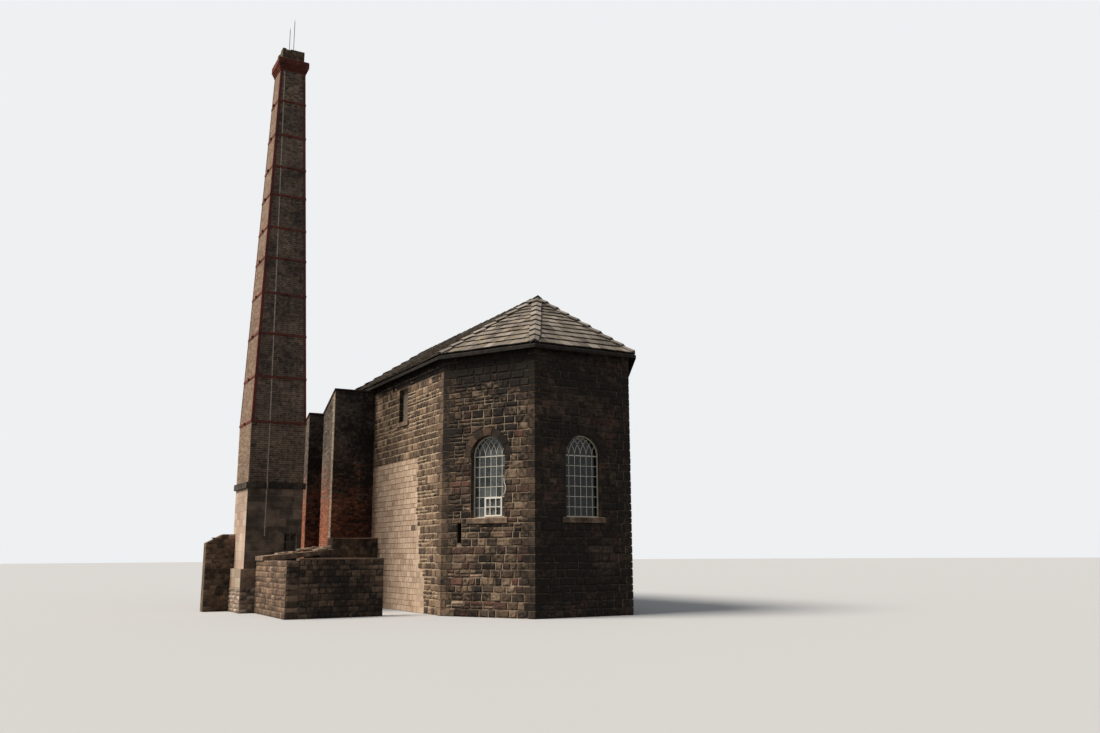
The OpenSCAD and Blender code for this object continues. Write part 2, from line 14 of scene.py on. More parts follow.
import bmesh
import bpy
from bmesh import ops
from bmesh.types import BMEdge, BMesh, BMFace, BMVert
from bpy.types import Material, Node, NodeSocket, NodeTree, Object
from mathutils import Matrix, Vector, noise


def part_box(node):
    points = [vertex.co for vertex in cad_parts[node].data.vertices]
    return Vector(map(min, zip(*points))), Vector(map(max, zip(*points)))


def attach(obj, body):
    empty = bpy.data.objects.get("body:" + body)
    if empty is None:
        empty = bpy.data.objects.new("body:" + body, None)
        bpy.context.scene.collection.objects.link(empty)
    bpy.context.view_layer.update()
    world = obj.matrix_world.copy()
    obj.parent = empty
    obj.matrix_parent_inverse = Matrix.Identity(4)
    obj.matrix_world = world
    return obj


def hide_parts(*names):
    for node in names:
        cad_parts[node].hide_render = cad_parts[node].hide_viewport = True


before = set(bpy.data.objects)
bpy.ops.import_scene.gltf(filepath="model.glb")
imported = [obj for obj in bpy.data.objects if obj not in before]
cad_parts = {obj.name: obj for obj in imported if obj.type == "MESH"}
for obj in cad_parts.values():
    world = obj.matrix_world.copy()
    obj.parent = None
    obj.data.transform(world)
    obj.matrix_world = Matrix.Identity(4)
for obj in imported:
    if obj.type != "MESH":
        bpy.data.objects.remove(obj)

log = logging.getLogger("engine_house")
Colour = tuple[float, float, float, float]
# A piece's tone pick, value and darkening share; the share stands for soot and, in places, painted shade.
Tint = tuple[float, float, float]
TINT = "tint"
ROOT = "root"
MILLIMETRES = 1000
# Blender's noise seldom leaves this range.
NOISE_LOW, NOISE_HIGH = 0.35, 0.65
# Share of a stone's own colour that the darkest soot and painted shade hide.
SOOT_COVER = 0.97
# The most soot and painted shade that a stone takes, and the share that paints the eaves' shadow, which no stain can
# lift again.
MOST_SOOT_AND_SHADE, EAVES_SHADOW_SHARE = 0.95, 1.35
# Distance at which a cut takes two points for one.
WELD = 1e-5


class Face(Enum):
    """The eight faces of the house, by the direction of their outward normal in degrees from +X."""

    RIGHT = 0
    REAR_RIGHT = 30
    REAR = 90
    REAR_LEFT = 150
    LEFT = 180
    FRONT_LEFT = 210
    FRONT = 270
    FRONT_RIGHT = 330


FACES = list(Face)
LONG = (Face.RIGHT, Face.LEFT)
ARCHED = [face for face in FACES if face not in LONG]
REAR_END = (Face.REAR_RIGHT, Face.REAR, Face.REAR_LEFT)


def linear(code: str) -> Colour:
    """Turns an sRGB hex colour into the linear one that a shader takes.

    Args:
        code: Six hex digits after a hash sign.

    Returns:
        Red, green, blue and alpha, linear.
    """
    parts = [int(code[i:i + 2], 16) / 255 for i in (1, 3, 5)]
    return tuple(c / 12.92 if c <= 0.04045 else ((c + 0.055) / 1.055) ** 2.4 for c in parts) + (1.0,)


def add_node(
        tree: NodeTree, kind: str, values: dict | None = None, links: dict | None = None, **settings: object) -> Node:
    """Adds one shader node with its settings, values and links.

    Args:
        tree: Node tree that takes it.
        kind: Type name without its ShaderNode prefix.
        values: Input name or number to value.
        links: Input name or number to the output that feeds it, or to the node whose first output does.
        **settings: Properties of the node itself.

    Returns:
        The new node.
    """
    made = tree.nodes.new("ShaderNode" + kind)
    for name, value in settings.items():
        setattr(made, name, value)
    for name, value in (values or {}).items():
        made.inputs[name].default_value = value
    for name, source in (links or {}).items():
        tree.links.new(source.outputs[0] if isinstance(source, Node) else source, made.inputs[name])
    return made


def fill_ramp(ramp: Node, tones: Sequence[str]) -> Node:
    """Spreads colours evenly over a colour ramp.

    Args:
        ramp: The colour ramp node.
        tones: Two or more hex colours, from its low end to its high end.

    Returns:
        The same node.
    """
    stops = ramp.color_ramp.elements
    for i, tone in enumerate(tones[1:-1], 1):
        stops.new(i / (len(tones) - 1))
    for stop, tone in zip(stops, tones):
        stop.color = linear(tone)
    return ramp


def start_material(name: str) -> Material:
    """Makes a material that holds only its shader."""
    made = bpy.data.materials.new(name)
    made.use_nodes = True
    return made


def end_material(made: Material, values: dict[str, float], colour: NodeSocket, bump: Node | None = None) -> Material:
    """Sets a material's shader and feeds it.

    Args:
        made: The material.
        values: Input name of the shader to value.
        colour: Output that gives the base colour.
        bump: Bump node that gives the normal.

    Returns:
        The same material.
    """
    tree = made.node_tree
    shader = tree.nodes["Principled BSDF"]
    for name, value in values.items():
        shader.inputs[name].default_value = value
    tree.links.new(colour, shader.inputs["Base Color"])
    if bump:
        tree.links.new(bump.outputs["Normal"], shader.inputs["Normal"])
    return made


@dataclass(frozen=True)
class Mineral:
    """Stone, brick, slate or mortar: matt and grainy, with soot, and in places painted light and shade.

    tones run over the ramp that each piece picks its own tone from; grain, patch and cloud are real sizes in
    millimetres of the grain, of the stains within a stone and of the soot over many stones. A solid without its own
    tints takes sooty all over as soot, lee on faces to the front as soot and painted shade, under on
    faces that look down as painted shade and eaves just below the roof as painted eaves shadow; washed is a
    painted highlight on faces that look up.
    """

    name: str
    tones: tuple[str, ...]
    soot: str
    grain: float
    patch: float
    relief: float
    cloud: float = 1700
    rough: float = 0.9
    shade: float = 0.4
    stain: float = 0.3
    sooty: float = 0.0
    lee: float = 0.0
    under: float = 0.0
    eaves: float = 0.0
    eaves_foot: float = 7.6
    eaves_depth: float = 0.9
    washed: float = 0.0
    specular: float = 0.25
    own_tint: bool = True

    def read_tint(self, tree: NodeTree) -> list[NodeSocket]:
        """Tone pick, value and darkening share, soot and painted shade, from the stones' own tints."""
        tint = add_node(tree, "Attribute", attribute_name=TINT).outputs["Vector"]
        return list(add_node(tree, "SeparateXYZ", links={"Vector": tint}).outputs)

    def read_place(self, tree: NodeTree, place: Node, broad: Node, fine: Node) -> list[Node]:
        """Tone pick, value and darkening, soot and painted shade, for a solid without tints of its own.

        Args:
            tree: Node tree that takes the nodes.
            place: Node that gives the object's own coordinates.
            broad: Noise of the stains.
            fine: Noise of the grain.

        Returns:
            The nodes of the three.
        """
        add = partial(add_node, tree)
        pick = add("MapRange", {"From Min": 0.3, "From Max": 0.7}, {"Value": broad})
        way = add("SeparateXYZ", links={"Vector": place.outputs["Normal"]})
        height = add("SeparateXYZ", links={"Vector": place.outputs["Object"]})
        # Just under the roof the darkening rises: painted eaves shadow.
        soot = add("MapRange", {"From Min": self.eaves_foot, "From Max": self.eaves_foot + self.eaves_depth,
                                "To Min": self.sooty, "To Max": self.sooty + self.eaves},
                   {"Value": height.outputs["Z"]})
        # Faces to the front darken with soot and painted shade, faces that look down with painted shade.
        for axis, held in (("Y", self.lee), ("Z", self.under)):
            facing = add("Math", {1: -held}, {0: way.outputs[axis]}, operation="MULTIPLY")
            kept = add("Math", {1: 0.0}, {0: facing}, operation="MAXIMUM")
            soot = add("Math", links={0: kept, 1: soot}, operation="ADD")
        return [pick, fine, soot]

    def build(self) -> Material:
        """Makes the material."""
        made = start_material(self.name)
        tree = made.node_tree
        add = partial(add_node, tree)
        place = add("TexCoord")
        broad, fine, cloud = (
            add("TexNoise", {"Scale": MILLIMETRES / size, "Detail": detail, "Roughness": 0.62},
                {"Vector": place.outputs["Object"]})
            for size, detail in ((self.patch, 4.0), (self.grain, 3.0), (self.cloud, 3.0)))
        pick, value, soot = self.read_tint(tree) if self.own_tint else self.read_place(tree, place, broad, fine)
        tone = fill_ramp(add("ValToRGB", links={"Fac": pick}), self.tones)
        # The stone's own value, its stains and its grain each lighten or darken the tone.
        level = add("Math", {1: self.shade, 2: 1.0 - 0.5 * self.shade}, {0: value}, operation="MULTIPLY_ADD")
        for source, reach, least in ((broad, 0.8, 0.6), (fine, 0.5, 0.75)):
            share = add("Math", {1: reach, 2: least}, {0: source}, operation="MULTIPLY_ADD")
            level = add("Math", links={0: level, 1: share}, operation="MULTIPLY")
        # Faces that look up get a painted highlight.
        if self.washed:
            way = add("SeparateXYZ", links={"Vector": place.outputs["Normal"]})
            top = add(
                "MapRange", {"From Min": 0.6, "From Max": 0.9, "To Min": 1.0, "To Max": 1.0 + self.washed},
                {"Value": way.outputs["Z"]})
            level = add("Math", links={0: level, 1: top}, operation="MULTIPLY")
        lit = add("VectorMath", links={0: tone, "Scale": level}, operation="SCALE")
        # Soot drifts over each stone and in clouds over many.
        spread = {"From Min": NOISE_LOW, "From Max": NOISE_HIGH, "To Min": -self.stain, "To Max": self.stain}
        near, wide = (add("MapRange", spread, {"Value": source}) for source in (broad, cloud))
        drift = add("Math", links={0: near, 1: wide}, operation="ADD")
        share = add("Math", links={0: soot, 1: drift}, operation="ADD", use_clamp=True)
        cover = add("Math", {1: SOOT_COVER}, {0: share}, operation="MULTIPLY")
        mixed = add("Mix", {7: linear(self.soot)}, {0: cover, 6: lit}, data_type="RGBA")
        lumps = add("Math", {1: 0.6}, {0: broad}, operation="MULTIPLY")
        height = add("Math", {1: 0.4}, {0: fine, 2: lumps}, operation="MULTIPLY_ADD")
        bump = add("Bump", {"Strength": 0.8, "Distance": self.relief / MILLIMETRES}, {"Height": height})
        return end_material(
            made, {"Roughness": self.rough, "Specular IOR Level": self.specular}, mixed.outputs[2], bump)


@dataclass(frozen=True)
class Coat:
    """Paint, rust or a metal skin: one colour that a second one breaks up in patches."""

    name: str
    colour: str
    worn: str
    wear: float
    patch: float
    rough: float
    metallic: float = 0.0
    relief: float = 1.0

    def build(self) -> Material:
        """Makes the material."""
        made = start_material(self.name)
        add = partial(add_node, made.node_tree)
        place = add("TexCoord").outputs["Object"]
        grain = add("TexNoise", {"Scale": MILLIMETRES / self.patch, "Detail": 6.0, "Roughness": 0.7}, {"Vector": place})
        edge = add("MapRange", {"From Min": 0.75 - self.wear, "From Max": 0.9 - self.wear}, {"Value": grain})
        mixed = add("Mix", {6: linear(self.colour), 7: linear(self.worn)}, {0: edge}, data_type="RGBA")
        bump = add("Bump", {"Strength": 0.6, "Distance": self.relief / MILLIMETRES}, {"Height": grain})
        return end_material(made, {"Roughness": self.rough, "Metallic": self.metallic}, mixed.outputs[2], bump)


@dataclass(frozen=True)
class WindowGlass:
    """Old drawn glass, slightly wavy, over an unlit room; each pane has its own painted reflection, from black to grey.
    """

    name: str = "drawn window glass"
    tones: tuple[str, ...] = ("#0b0c0c", "#1d2021", "#3b3f40", "#616667", "#7d8383")
    film: float = 130
    film_stain: float = 0.12
    rough: float = 0.12
    clear: float = 0.35
    specular: float = 0.22
    index: float = 1.5
    wave: float = 250
    wave_relief: float = 20

    def build(self) -> Material:
        """Makes the material."""
        made = start_material(self.name)
        add = partial(add_node, made.node_tree)
        place = add("TexCoord").outputs["Object"]
        # Each pane's tint, with a patchy drift, picks its painted reflection from black to grey.
        tint = add("Attribute", attribute_name=TINT).outputs["Vector"]
        pick = add("SeparateXYZ", links={"Vector": tint})
        film = add("TexNoise", {"Scale": MILLIMETRES / self.film, "Detail": 3.0}, {"Vector": place})
        drift = add(
            "MapRange",
            {"From Min": NOISE_LOW, "From Max": NOISE_HIGH, "To Min": -self.film_stain, "To Max": self.film_stain},
            {"Value": film})
        painted_reflection = add("Math", links={0: pick, 1: drift}, operation="ADD", use_clamp=True)
        tone = fill_ramp(add("ValToRGB", links={"Fac": painted_reflection}), self.tones)
        wave = add("TexNoise", {"Scale": MILLIMETRES / self.wave, "Detail": 1.0}, {"Vector": place})
        bump = add("Bump", {"Strength": 0.25, "Distance": self.wave_relief / MILLIMETRES}, {"Height": wave})
        return end_material(made, {"Roughness": self.rough, "Transmission Weight": self.clear,
                                   "Specular IOR Level": self.specular, "IOR": self.index},
                            tone.outputs["Color"], bump)


class Finish(Enum):
    """Every finish on the building."""

    # Rock-faced gritstone: brown to grey, each block its own tone, black where soot stays.
    GRITSTONE = Mineral(
        "rock-faced gritstone", ("#ab937c", "#8b745f", "#6f5c4d", "#5b4d43", "#765347"), "#1f1b18", 50, 140, 24,
        shade=0.6, stain=0.36)
    # Later infill: smooth sawn sandstone, pale pinkish buff and almost clean.
    INFILL = Mineral(
        "smooth buff sandstone", ("#e0c8af", "#dac1a8", "#d2b79f", "#c9ad95"), "#5b4a3e", 30, 260, 4, shade=0.14,
        stain=0.12)
    # Tooled ashlar of the chimney's base: pinkish buff, grey where soot and painted shade darken the sides away from
    # the light.
    ASHLAR = Mineral(
        "tooled pink ashlar", ("#e2cab6", "#d7bea9", "#ccb19d", "#c1a693"), "#36312d", 26, 420, 4, shade=0.2,
        stain=0.09)
    # Arch stones: gritstone finely dressed, so smoother and a little redder.
    DRESSED = Mineral(
        "dressed gritstone", ("#6e5948", "#5f4d3f", "#4f4137", "#453930"), "#221d1a", 35, 240, 7, shade=0.4)
    # Sills and slabs: single dressed blocks with a painted highlight on top, painted shade underneath, and soot and
    # painted shade on the front.
    SILL = Mineral(
        "weathered sill stone", ("#a48e79", "#8c7663", "#735f50"), "#241f1c", 35, 300, 7, sooty=0.16, lee=0.25,
        under=0.7, washed=0.5, own_tint=False)
    # Copings, string course: dressed stone in the smoke, a dark line against brick and sky; soot and painted shade
    # darken the front, painted shade the underside.
    COPING = Mineral(
        "sooty coping stone", ("#6a5d50", "#50463d"), "#1e1b19", 30, 350, 6, sooty=0.3, lee=0.5, under=0.5,
        own_tint=False)
    # The ledge at the piers' foot: brown stone, nearly black on its front with soot and painted shade, and with painted
    # shade underneath.
    LEDGE = Mineral(
        "ledge stone", ("#8f7b66", "#6f5c4c", "#5a4a3e"), "#1e1a18", 30, 260, 8, sooty=0.1, lee=0.62, under=0.5,
        own_tint=False)
    # Lime pointing: pale and sandy, in patches darkened by soot, and painted black just under the eaves as their
    # shadow.
    POINTING = Mineral(
        "pale lime pointing", ("#dfcbae", "#c9b397", "#a3907a"), "#2b2622", 14, 380, 8, cloud=1300, sooty=0.04,
        stain=0.24, eaves=1.0, eaves_foot=8.6, own_tint=False)
    # The same lime on the weathered side: pale in broken patches, painted black below the eaves as their shadow.
    GREY_POINTING = Mineral(
        "grey lime pointing", ("#cdb99d", "#9d8b75", "#6f6253"), "#26211e", 14, 300, 8, cloud=1100, sooty=0.3,
        stain=0.5, eaves=1.3, own_tint=False)
    # Lime on the faces away from the light, under soot and painted shade: hardly paler than the stones, so the courses
    # only just show.
    DARK_POINTING = Mineral(
        "sooty lime pointing", ("#7c6d5d", "#5e5247", "#463d36"), "#1f1c19", 14, 380, 8, cloud=1300, sooty=0.6,
        stain=0.35, own_tint=False)
    # Lime between the chimney's bricks: fine pale lines that grey the brick from a distance; darker on the front with
    # soot and painted shade.
    BRICK_POINTING = Mineral(
        "brick pointing", ("#c6b7a5", "#b0a190", "#918274"), "#4a433e", 12, 160, 4, lee=0.5, stain=0.3, own_tint=False)
    # Ash mortar of the piers and yard walls: dull and dark, so the bricks read warmer; near black on the front with
    # soot and painted shade.
    PIER_POINTING = Mineral(
        "pier pointing", ("#9a8878", "#7f6e60", "#655649"), "#191514", 12, 300, 4, sooty=0.15, lee=0.85, stain=0.3,
        own_tint=False)
    # Limestone rubble of the chimney's foot: grey-buff, lumpy.
    RUBBLE = Mineral(
        "limestone rubble", ("#cbbba8", "#b3a08c", "#9a8878", "#bfa08a"), "#423a34", 40, 170, 18, shade=0.5, stain=0.2)
    # Squared field stone of the low walls: brown, lumpy, with lighter washed faces.
    YARD_STONE = Mineral(
        "squared yard stone", ("#a68b75", "#957b66", "#816855", "#756556"), "#2b2521", 40, 180, 16, shade=0.45,
        stain=0.25)
    # Broken end and top of a wall: its core of small stones in earth, darker on the front with soot and painted shade.
    BROKEN_WALL = Mineral(
        "broken wall core", ("#9b836f", "#75624f", "#564a3f"), "#2b2521", 60, 150, 30, sooty=0.1, lee=0.4,
        own_tint=False)
    # Split stone slates: grey-buff with lichen, with painted shade below each tail.
    SLATE = Mineral(
        "split stone slate", ("#a69b90", "#948a7f", "#80776d", "#9c8f7b", "#6f675e"), "#24211e", 60, 200, 9, shade=0.5,
        stain=0.16)
    # The double course under the slates: only its edge shows, painted dark as the shade along the eaves and black
    # underneath.
    SLATE_BED = Mineral(
        "slate eaves course", ("#4a4239", "#3a332c", "#2e2924"), "#12100f", 40, 160, 8, sooty=0.62, under=1.0,
        stain=0.2, own_tint=False)
    # Hip and ridge stones: sawn, so smoother, greyer and a little paler than the slates.
    HIP_STONE = Mineral(
        "sawn hip stone", ("#a89f95", "#968c82", "#847b71"), "#24211d", 45, 200, 7, shade=0.4, stain=0.16)
    # Hand-made brick of the shaft: tan-pink on the left side, black-brown where soot and painted shade darken the
    # others.
    SHAFT_BRICK = Mineral(
        "weathered shaft brick", ("#b5a08b", "#a58c77", "#937864", "#826957"), "#282321", 25, 160, 4, shade=0.35,
        stain=0.14)
    # Brick of the piers: pinkish grey high up, orange-red below, limy and pale along the washed corner; its near-black
    # soot tone also paints the shade on the front and rear faces.
    PIER_BRICK = Mineral(
        "hand-made pier brick", ("#bfae97", "#90857b", "#8b776a", "#b3765a", "#a66248"), "#151110", 25, 160, 4,
        shade=0.5, stain=0.24)
    # The cap was colour-washed with iron oxide.
    CAP_BRICK = Mineral(
        "oxide-washed cap brick", ("#94503f", "#7c4034", "#66362d"), "#281d1b", 25, 200, 4, shade=0.35, stain=0.2)
    # The bed joints of the cap took the same wash: a dull red line between its courses, darker on the front with soot
    # and painted shade.
    CAP_BED = Mineral("oxide-washed cap bed", ("#7c4638", "#66382e"), "#281d1b", 25, 200, 4, lee=0.4, own_tint=False)
    # The broken parapet: sooty brick with mossy brown ledges, darker on the front with soot and painted shade.
    PARAPET = Mineral(
        "sooty parapet brick", ("#8a7358", "#6a5a48", "#54483c"), "#221f1c", 40, 120, 10, sooty=0.25, lee=0.3,
        own_tint=False)
    # Sawn floor flags: plain grey, seen only through the glass.
    FLAGS = Mineral("floor flags", ("#8c857b", "#766f66"), "#34302c", 30, 500, 3, own_tint=False)
    # Old lead paint, chalky white, dulled by dirt near the joints.
    WINDOW_PAINT = Coat("old white window paint", "#dad6c8", "#a39b89", 0.2, 60, 0.45)
    # The opening light was painted again, so it is nearly clean white.
    FRESH_PAINT = Coat("fresh white window paint", "#f2eee4", "#c9c2b2", 0.12, 60, 0.4)
    # Painted softwood boards: the paint has gone, what is left is silver-grey with brown grain.
    BOARD_PAINT = Coat("weathered grey boards", "#8f8574", "#5f574a", 0.32, 90, 0.75)
    # Painted iron gone to rust: dull red, nearly black on the front with soot and painted shade.
    RUST = Mineral(
        "rusty red iron", ("#8a4031", "#733527", "#5b2a20"), "#231615", 20, 110, 3, rough=0.75, sooty=0.06, lee=0.5,
        stain=0.2, own_tint=False)
    # Cast grate that has been in smoke: black with brown rust, hardly any shine.
    BARE_IRON = Coat("black grate iron", "#2b2725", "#4a2d22", 0.2, 50, 0.6, 0.3)
    # Copper tape under a grey skin: a pale dull line down the sooty brick.
    TAPE = Coat("weathered conductor tape", "#9a9084", "#756c61", 0.3, 120, 0.55, 0.2)
    # Galvanised rod: thin, grey, half dull.
    ROD = Coat("weathered lightning rod", "#5a5854", "#46433f", 0.25, 80, 0.5, 0.4)
    # Hand-drawn panes: no two alike, each with a painted reflection from grey to black.
    GLASS = WindowGlass()


_materials: dict[Finish, Material] = {}


def material(finish: Finish) -> Material:
    """Gives a finish's material, made once."""
    if finish not in _materials:
        _materials[finish] = finish.value.build()
    return _materials[finish]


@dataclass(frozen=True)
class HouseForm:
    """The sizes of the house that its stones and slates follow."""

    half_width: float = 4.0
    side_length: float = 12.8
    wall_top: float = 9.606
    wall_depth: float = 0.6
    eaves: float = 9.51
    ridge: float = 12.29
    eaves_reach: float = 0.32
    place: Vector = field(default_factory=lambda: Vector((3.2975, -6.4, 0.0)))

    def distance(self, face: Face) -> float:
        """Distance of a face from the centre of its end."""
        return self.half_width if face in LONG else self.half_width * math.cos(math.radians(30))

    def middle(self, face: Face) -> float:
        """Place along the house of the centre that a face is counted from."""
        return self.side_length if face in REAR_END else 0.0

    def normal(self, face: Face) -> Vector:
        """Outward normal of a face."""
        turn = math.radians(face.value)
        return Vector((math.cos(turn), math.sin(turn), 0.0))

    def along(self, face: Face) -> Vector:
        """Direction of a face's own x."""
        turn = math.radians(face.value)
        return Vector((-math.sin(turn), math.cos(turn), 0.0))

    def slope(self, face: Face) -> float:
        """Rise over run of the roof above a face."""
        return (self.ridge - self.eaves) / (self.distance(face) + self.eaves_reach)

    def onto(self, face: Face) -> Matrix:
        """Matrix from a face's own lines (x along it, -y outward, z up) to the CAD frame."""
        turn = Matrix.Rotation(math.radians(face.value + 90), 4, "Z")
        return Matrix.Translation(self.place + Vector((0, self.middle(face), 0))) @ turn @ \
            Matrix.Translation((0, -self.distance(face), 0))

    def next_face(self, face: Face) -> Face:
        """The face after this one, counted to the left."""
        return FACES[(FACES.index(face) + 1) % len(FACES)]

    def corner(self, face: Face, grow: float = 0.0) -> Vector:
        """Corner in plan between a face and the next one, moved out by grow.

        Args:
            face: The face before the corner.
            grow: Distance that both faces are moved out.

        Returns:
            The point in the house's own lines.
        """
        after = self.next_face(face)
        a, b = math.radians(face.value), math.radians(after.value)
        da, db = self.distance(face) + grow, self.distance(after) + grow
        shift = self.side_length if FACES.index(face) <= FACES.index(Face.REAR_LEFT) else 0.0
        x = (da * math.sin(b) - db * math.sin(a)) / math.sin(b - a)
        y = (db * math.cos(a) - da * math.cos(b)) / math.sin(b - a)
        return Vector((x, y + shift, 0))

    def ends(self, face: Face) -> tuple[float, float]:
        """The first and last x of a face, in its own lines."""
        before = FACES[FACES.index(face) - 1]
        shift = Vector((0, self.middle(face), 0))
        axis = self.along(face)
        return (self.corner(before) - shift).dot(axis), (self.corner(face) - shift).dot(axis)


HOUSE = HouseForm()


def seeded(seed: int) -> random.Random:
    """A dataclass field with a source of small differences that is the same in every run."""
    return field(default_factory=lambda: random.Random(seed))


def clamp(value: float, low: float = 0.0, high: float = 1.0) -> float:
    """Keeps a value between two limits."""
    return min(high, max(low, value))


def random_tint(rng: random.Random, soot: float, less: float, more: float) -> Tint:
    """A random tone and value, with a darkening share, soot and in places painted shade, that strays a little.

    Args:
        rng: Source of the differences.
        soot: Usual soot share.
        less: How far it strays at its low end.
        more: How far it strays at its high end.

    Returns:
        The tint.
    """
    return rng.random(), rng.random(), clamp(soot + rng.uniform(less, more), high=MOST_SOOT_AND_SHADE)


def new_mesh() -> BMesh:
    """Starts an empty bmesh with the layer that holds each piece's tone."""
    bm = bmesh.new()
    bm.faces.layers.float_vector.new(TINT)
    return bm


def tint_faces(bm: BMesh, faces: Iterable[BMFace], tint: Tint) -> None:
    """Writes one tone, value and darkening share, soot and in places painted shade, on faces."""
    layer = bm.faces.layers.float_vector[TINT]
    for face in faces:
        face[layer] = tint


def faces_of(verts: Iterable[BMVert]) -> list[BMFace]:
    """The faces that touch some vertices, each once and in order."""
    return list(dict.fromkeys(f for v in verts for f in v.link_faces))


def whole(bm: BMesh) -> list[object]:
    """All geometry of a mesh, as a cut takes it."""
    return bm.verts[:] + bm.edges[:] + bm.faces[:]


def add_block(bm: BMesh, size: Sequence[float], centre: Sequence[float] = (0, 0, 0)) -> list[BMVert]:
    """Adds a box of a size round a centre, and gives its vertices."""
    made = ops.create_cube(bm, size=1.0)["verts"]
    ops.scale(bm, vec=size, verts=made)
    ops.translate(bm, vec=centre, verts=made)
    return made


def add_prism(bm: BMesh, outline: Iterable[Sequence[float]], push: Vector) -> list[BMVert]:
    """Pushes an outline along a vector into a solid, and gives its vertices."""
    verts = [bm.verts.new(point) for point in outline]
    grown = ops.extrude_face_region(bm, geom=[bm.faces.new(verts)])["geom"]
    moved = [part for part in grown if isinstance(part, BMVert)]
    ops.translate(bm, verts=moved, vec=push)
    return verts + moved


def bevel_edges(bm: BMesh, edges: list[BMEdge], width: float, segments: int = 1) -> None:
    """Takes the arrises off by a width."""
    ops.bevel(bm, geom=edges, offset=width, affect="EDGES", segments=segments, profile=0.5, material=-1)


def ease_arrises(bm: BMesh, width: float, turn: float, segments: int = 1) -> None:
    """Points all faces outwards and takes off the arrises that turn by more than an angle."""
    ops.recalc_face_normals(bm, faces=bm.faces[:])
    sharp = [e for e in bm.edges if len(e.link_faces) == 2 and e.calc_face_angle(0) > turn]
    bevel_edges(bm, sharp, width, segments)


def wear_shape(bm: BMesh, lumps: float, depth: float) -> None:
    """Moves every vertex a little, with so many lumps to the metre."""
    for vert in bm.verts:
        vert.co += noise.noise_vector(vert.co * lumps) * depth


def join(target: BMesh, part: BMesh, matrix: Matrix) -> None:
    """Moves a part by a matrix and adds it to another mesh; the part is freed."""
    ops.transform(part, matrix=matrix, verts=part.verts)
    held = bpy.data.meshes.new("held")
    part.to_mesh(held)
    part.free()
    target.from_mesh(held)
    bpy.data.meshes.remove(held)


def turned(place: Vector, turns: int) -> Matrix:
    """Matrix that turns a side's own lines by quarter turns and moves them to their place."""
    return Matrix.Translation(place) @ Matrix.Rotation(turns * math.pi / 2, 4, "Z")


def finish_piece(bm: BMesh, name: str, finish: Finish, replaces: Sequence[str] = ()) -> Object:
    """Turns a bmesh into a piece that rides on the building.

    Args:
        bm: The mesh, in the CAD frame; it is freed.
        name: Name of the piece.
        finish: Its finish.
        replaces: CAD nodes that it stands for.

    Returns:
        The new object.
    """
    mesh = bpy.data.meshes.new(name)
    bm.to_mesh(mesh)
    bm.free()
    mesh.materials.append(material(finish))
    piece = bpy.data.objects.new(name, mesh)
    bpy.context.scene.collection.objects.link(piece)
    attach(piece, ROOT)
    if replaces:
        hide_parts(*replaces)
    log.info("%s: %d faces", name, len(mesh.polygons))
    return piece


def dress(finish: Finish, *nodes: str) -> None:
    """Gives CAD nodes their finish."""
    for node in nodes:
        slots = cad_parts[node].data.materials
        slots.clear()
        slots.append(material(finish))


@dataclass(frozen=True)
class Rect:
    """An upright rectangle on a wall, in the wall's own lines."""

    left: float
    right: float
    foot: float
    head: float


